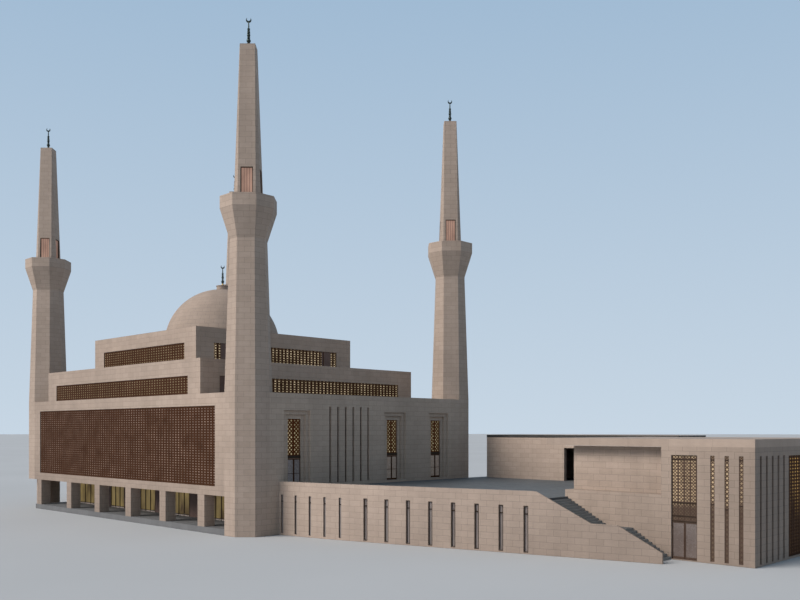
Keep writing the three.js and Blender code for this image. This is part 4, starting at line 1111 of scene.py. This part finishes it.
def entrance_front_slots():
    """A chain of crossing bars in each slot. Its cells are about as high as they are wide."""
    slots = Piece(wall_along_x(ANNEX_FRONT, 1))
    for x, split in FRONT_SLOTS:
        span = (x - SLOT_HALF, x + SLOT_HALF)
        slots.bar(span, SLOT_Z, FRONT_PANE_DEPTH, PANE)
        for z in ((6.6, 6.84), (split, 6.55), (0.13, split - 0.06)):
            rows = round((z[1] - z[0]) / (2 * SLOT_HALF))
            star_lattice(slots, span, z, (1, rows), FRONT_LATTICE_DEPTH, **CHAIN_LATTICE)
        for z in ((6.54, 6.6), (split - 0.06, split)):
            slots.bar(span, z, FRONT_BAR_DEPTH, EXTRA)
    slots.finish("annex_front_slots", [sun_bronze, annex_glass, dark_bronze], "bronze_screen")


def entrance_side_slots():
    slots = Piece(wall_along_y(ANNEX_RIGHT, -1))
    for distance in SIDE_SLOTS:
        for y in (SIDE_MIDDLE - distance, SIDE_MIDDLE + distance):
            span = (y - SLOT_HALF, y + SLOT_HALF)
            slots.bar(span, SLOT_Z, SIDE_PANE_DEPTH, PANE)
            frame_bars(slots, span, SLOT_Z, SIDE_SLOT_RIM, SIDE_FRAME_DEPTH)
            for z in SIDE_SLOT_BARS:
                slots.bar(span, (z - SIDE_BAR_HALF, z + SIDE_BAR_HALF), SIDE_BAR_DEPTH)
    slots.finish("annex_side_slots", [dark_bronze, court_glass], "window_glass")


def entrance_side_screen():
    screen = Piece(wall_along_y(ANNEX_RIGHT, -1))
    star_lattice(
        screen, *SIDE_OPENING, SIDE_CELLS, SIDE_LATTICE_DEPTH, **CHAIN_LATTICE, upright=SIDE_OPENING_UPRIGHT,
    )
    screen.bar(*SIDE_OPENING, SIDE_OPENING_PANE_DEPTH, PANE)
    screen.finish(
        "annex_side_star_screen", [bronze, side_glass], "bronze_screen", replaced=["annex_side_screen"],
    )


entrance_screen()
entrance_front_slots()
entrance_side_slots()
entrance_side_screen()

# Trims: the head of the loggia, and the metal coping of the rear wing

LOGGIA_TRIM = ((20.98, 28.44), (7.355, 7.398), (0.01, 0.09))
WING_X = (0.8, 21.5)
WING_Y = (29.3, 34.5)
COPING_Z = (7.74, 8.0)
COPING_DEPTH = (-0.01, 0.012)


def trims():
    trim = Piece(wall_along_x(ANNEX_FRONT, 1))
    trim.bar(*LOGGIA_TRIM)
    trim.finish("loggia_head_trim", [trim_stone], "stone_wall")
    coping = Piece()
    coping.bar(WING_X, COPING_Z, COPING_DEPTH, METAL, wall_along_x(WING_Y[0], 1))
    coping.bar(WING_Y, COPING_Z, COPING_DEPTH, METAL, wall_along_y(WING_X[1], -1))
    coping.finish("rear_wing_coping", [coping_metal], "stone_wall")


trims()

# Finishes of the CAD pieces that stay

FINISHES = {
    hall_stone: ["front_wall", "back_wall", "left_wall", "tier2_walls", "tier3_walls"],
    arcade_stone: ["front_arcade"],
    court_side_stone: [
        "right_wall_base", "right_wall_head", *[f"right_wall_pier_{number}" for number in range(1, 5)],
    ],
    entrance_front_stone: ["annex_front_wall"],
    entrance_stone: ["annex_back_left_wall"],
    entrance_side_stone: ["annex_right_wall"],
    edge_stone: ["annex_roof"],
    tower_stone: [f"minaret_{name}_{part}" for name in TOWERS for part in ("shaft", "spire")],
    court_stone: ["court_wall", "court_back_wall", "rear_wing_walls"],
    roof_stone: ["tier1_roof", "tier2_roof", "tier3_roof", "rear_wing_roof"],
    deck_stone: ["court_deck"],
    stair_stone: ["court_stair"],
    slab_stone: ["hall_ground_slab", "hall_floor_slab", "lower_floor"],
    ribbon_glass: ["tier2_window_band", "tier3_window_band"],
}
for material, names in FINISHES.items():
    for name in names:
        node = NODES[name]
        if not node.material_slots:
            node.data.materials.append(material)
        for slot in node.material_slots:
            slot.material = material

# Floor, light and camera, in the model's own metres

FLOOR_RADIUS = 900
FLOOR_SIDES = 64
FLOOR_DROP = 0.004
BACKDROP = ((0.0, (0.57, 0.67, 0.77)), (0.45, (0.35, 0.49, 0.65)), (1.0, (0.13, 0.18, 0.24)))
SUN_DIRECTION = (0.317, 0.727, -0.609)
CAMERA_PLACE = (38.595, -26.28, 4.237)
CAMERA_HEADING = math.radians(44.331)


def studio_floor():
    mesh = bpy.data.meshes.new("studio_floor")
    ring = []
    for i in range(FLOOR_SIDES):
        angle = 2 * math.pi * i / FLOOR_SIDES
        ring.append((FLOOR_RADIUS * math.cos(angle), FLOOR_RADIUS * math.sin(angle), -FLOOR_DROP))
    mesh.from_pydata(ring, [], [list(range(FLOOR_SIDES))])
    mesh.materials.append(floor_finish())
    floor = bpy.data.objects.new("studio_floor", mesh)
    bpy.context.scene.collection.objects.link(floor)


def studio_backdrop():
    """A pale backdrop that darkens upwards."""
    world = bpy.data.worlds.new("studio")
    bpy.context.scene.world = world
    world.use_nodes = True
    tree = world.node_tree
    direction = tree.nodes.new("ShaderNodeTexCoord")
    parts = tree.nodes.new("ShaderNodeSeparateXYZ")
    shades = tree.nodes.new("ShaderNodeValToRGB")
    tree.links.new(direction.outputs["Generated"], parts.inputs[0])
    tree.links.new(parts.outputs[Z], shades.inputs["Fac"])
    tree.links.new(shades.outputs["Color"], tree.nodes["Background"].inputs["Color"])
    set_stops(shades.color_ramp, BACKDROP)


def studio_sun():
    """A broad soft sun from the camera's left and a little behind it."""
    sun = bpy.data.lights.new("key", "SUN")
    sun.energy = 4.0
    sun.angle = math.radians(40)
    sun.color = (1.0, 0.94, 0.88)
    sun_object = bpy.data.objects.new("key", sun)
    sun_object.rotation_euler = Vector(SUN_DIRECTION).to_track_quat("-Z", "Y").to_euler()
    bpy.context.scene.collection.objects.link(sun_object)


def studio_camera():
    camera = bpy.data.cameras.new("camera")
    camera.sensor_width = 36.0
    camera.lens = 39.509
    camera.shift_y = 0.1625
    camera.clip_end = 3000.0
    camera_object = bpy.data.objects.new("camera", camera)
    camera_object.location = CAMERA_PLACE
    camera_object.rotation_euler = (math.pi / 2, 0.0, CAMERA_HEADING)
    bpy.context.scene.collection.objects.link(camera_object)
    bpy.context.scene.camera = camera_object


studio_floor()
studio_backdrop()
studio_sun()
studio_camera()
bpy.context.scene.view_settings.view_transform = "Standard"
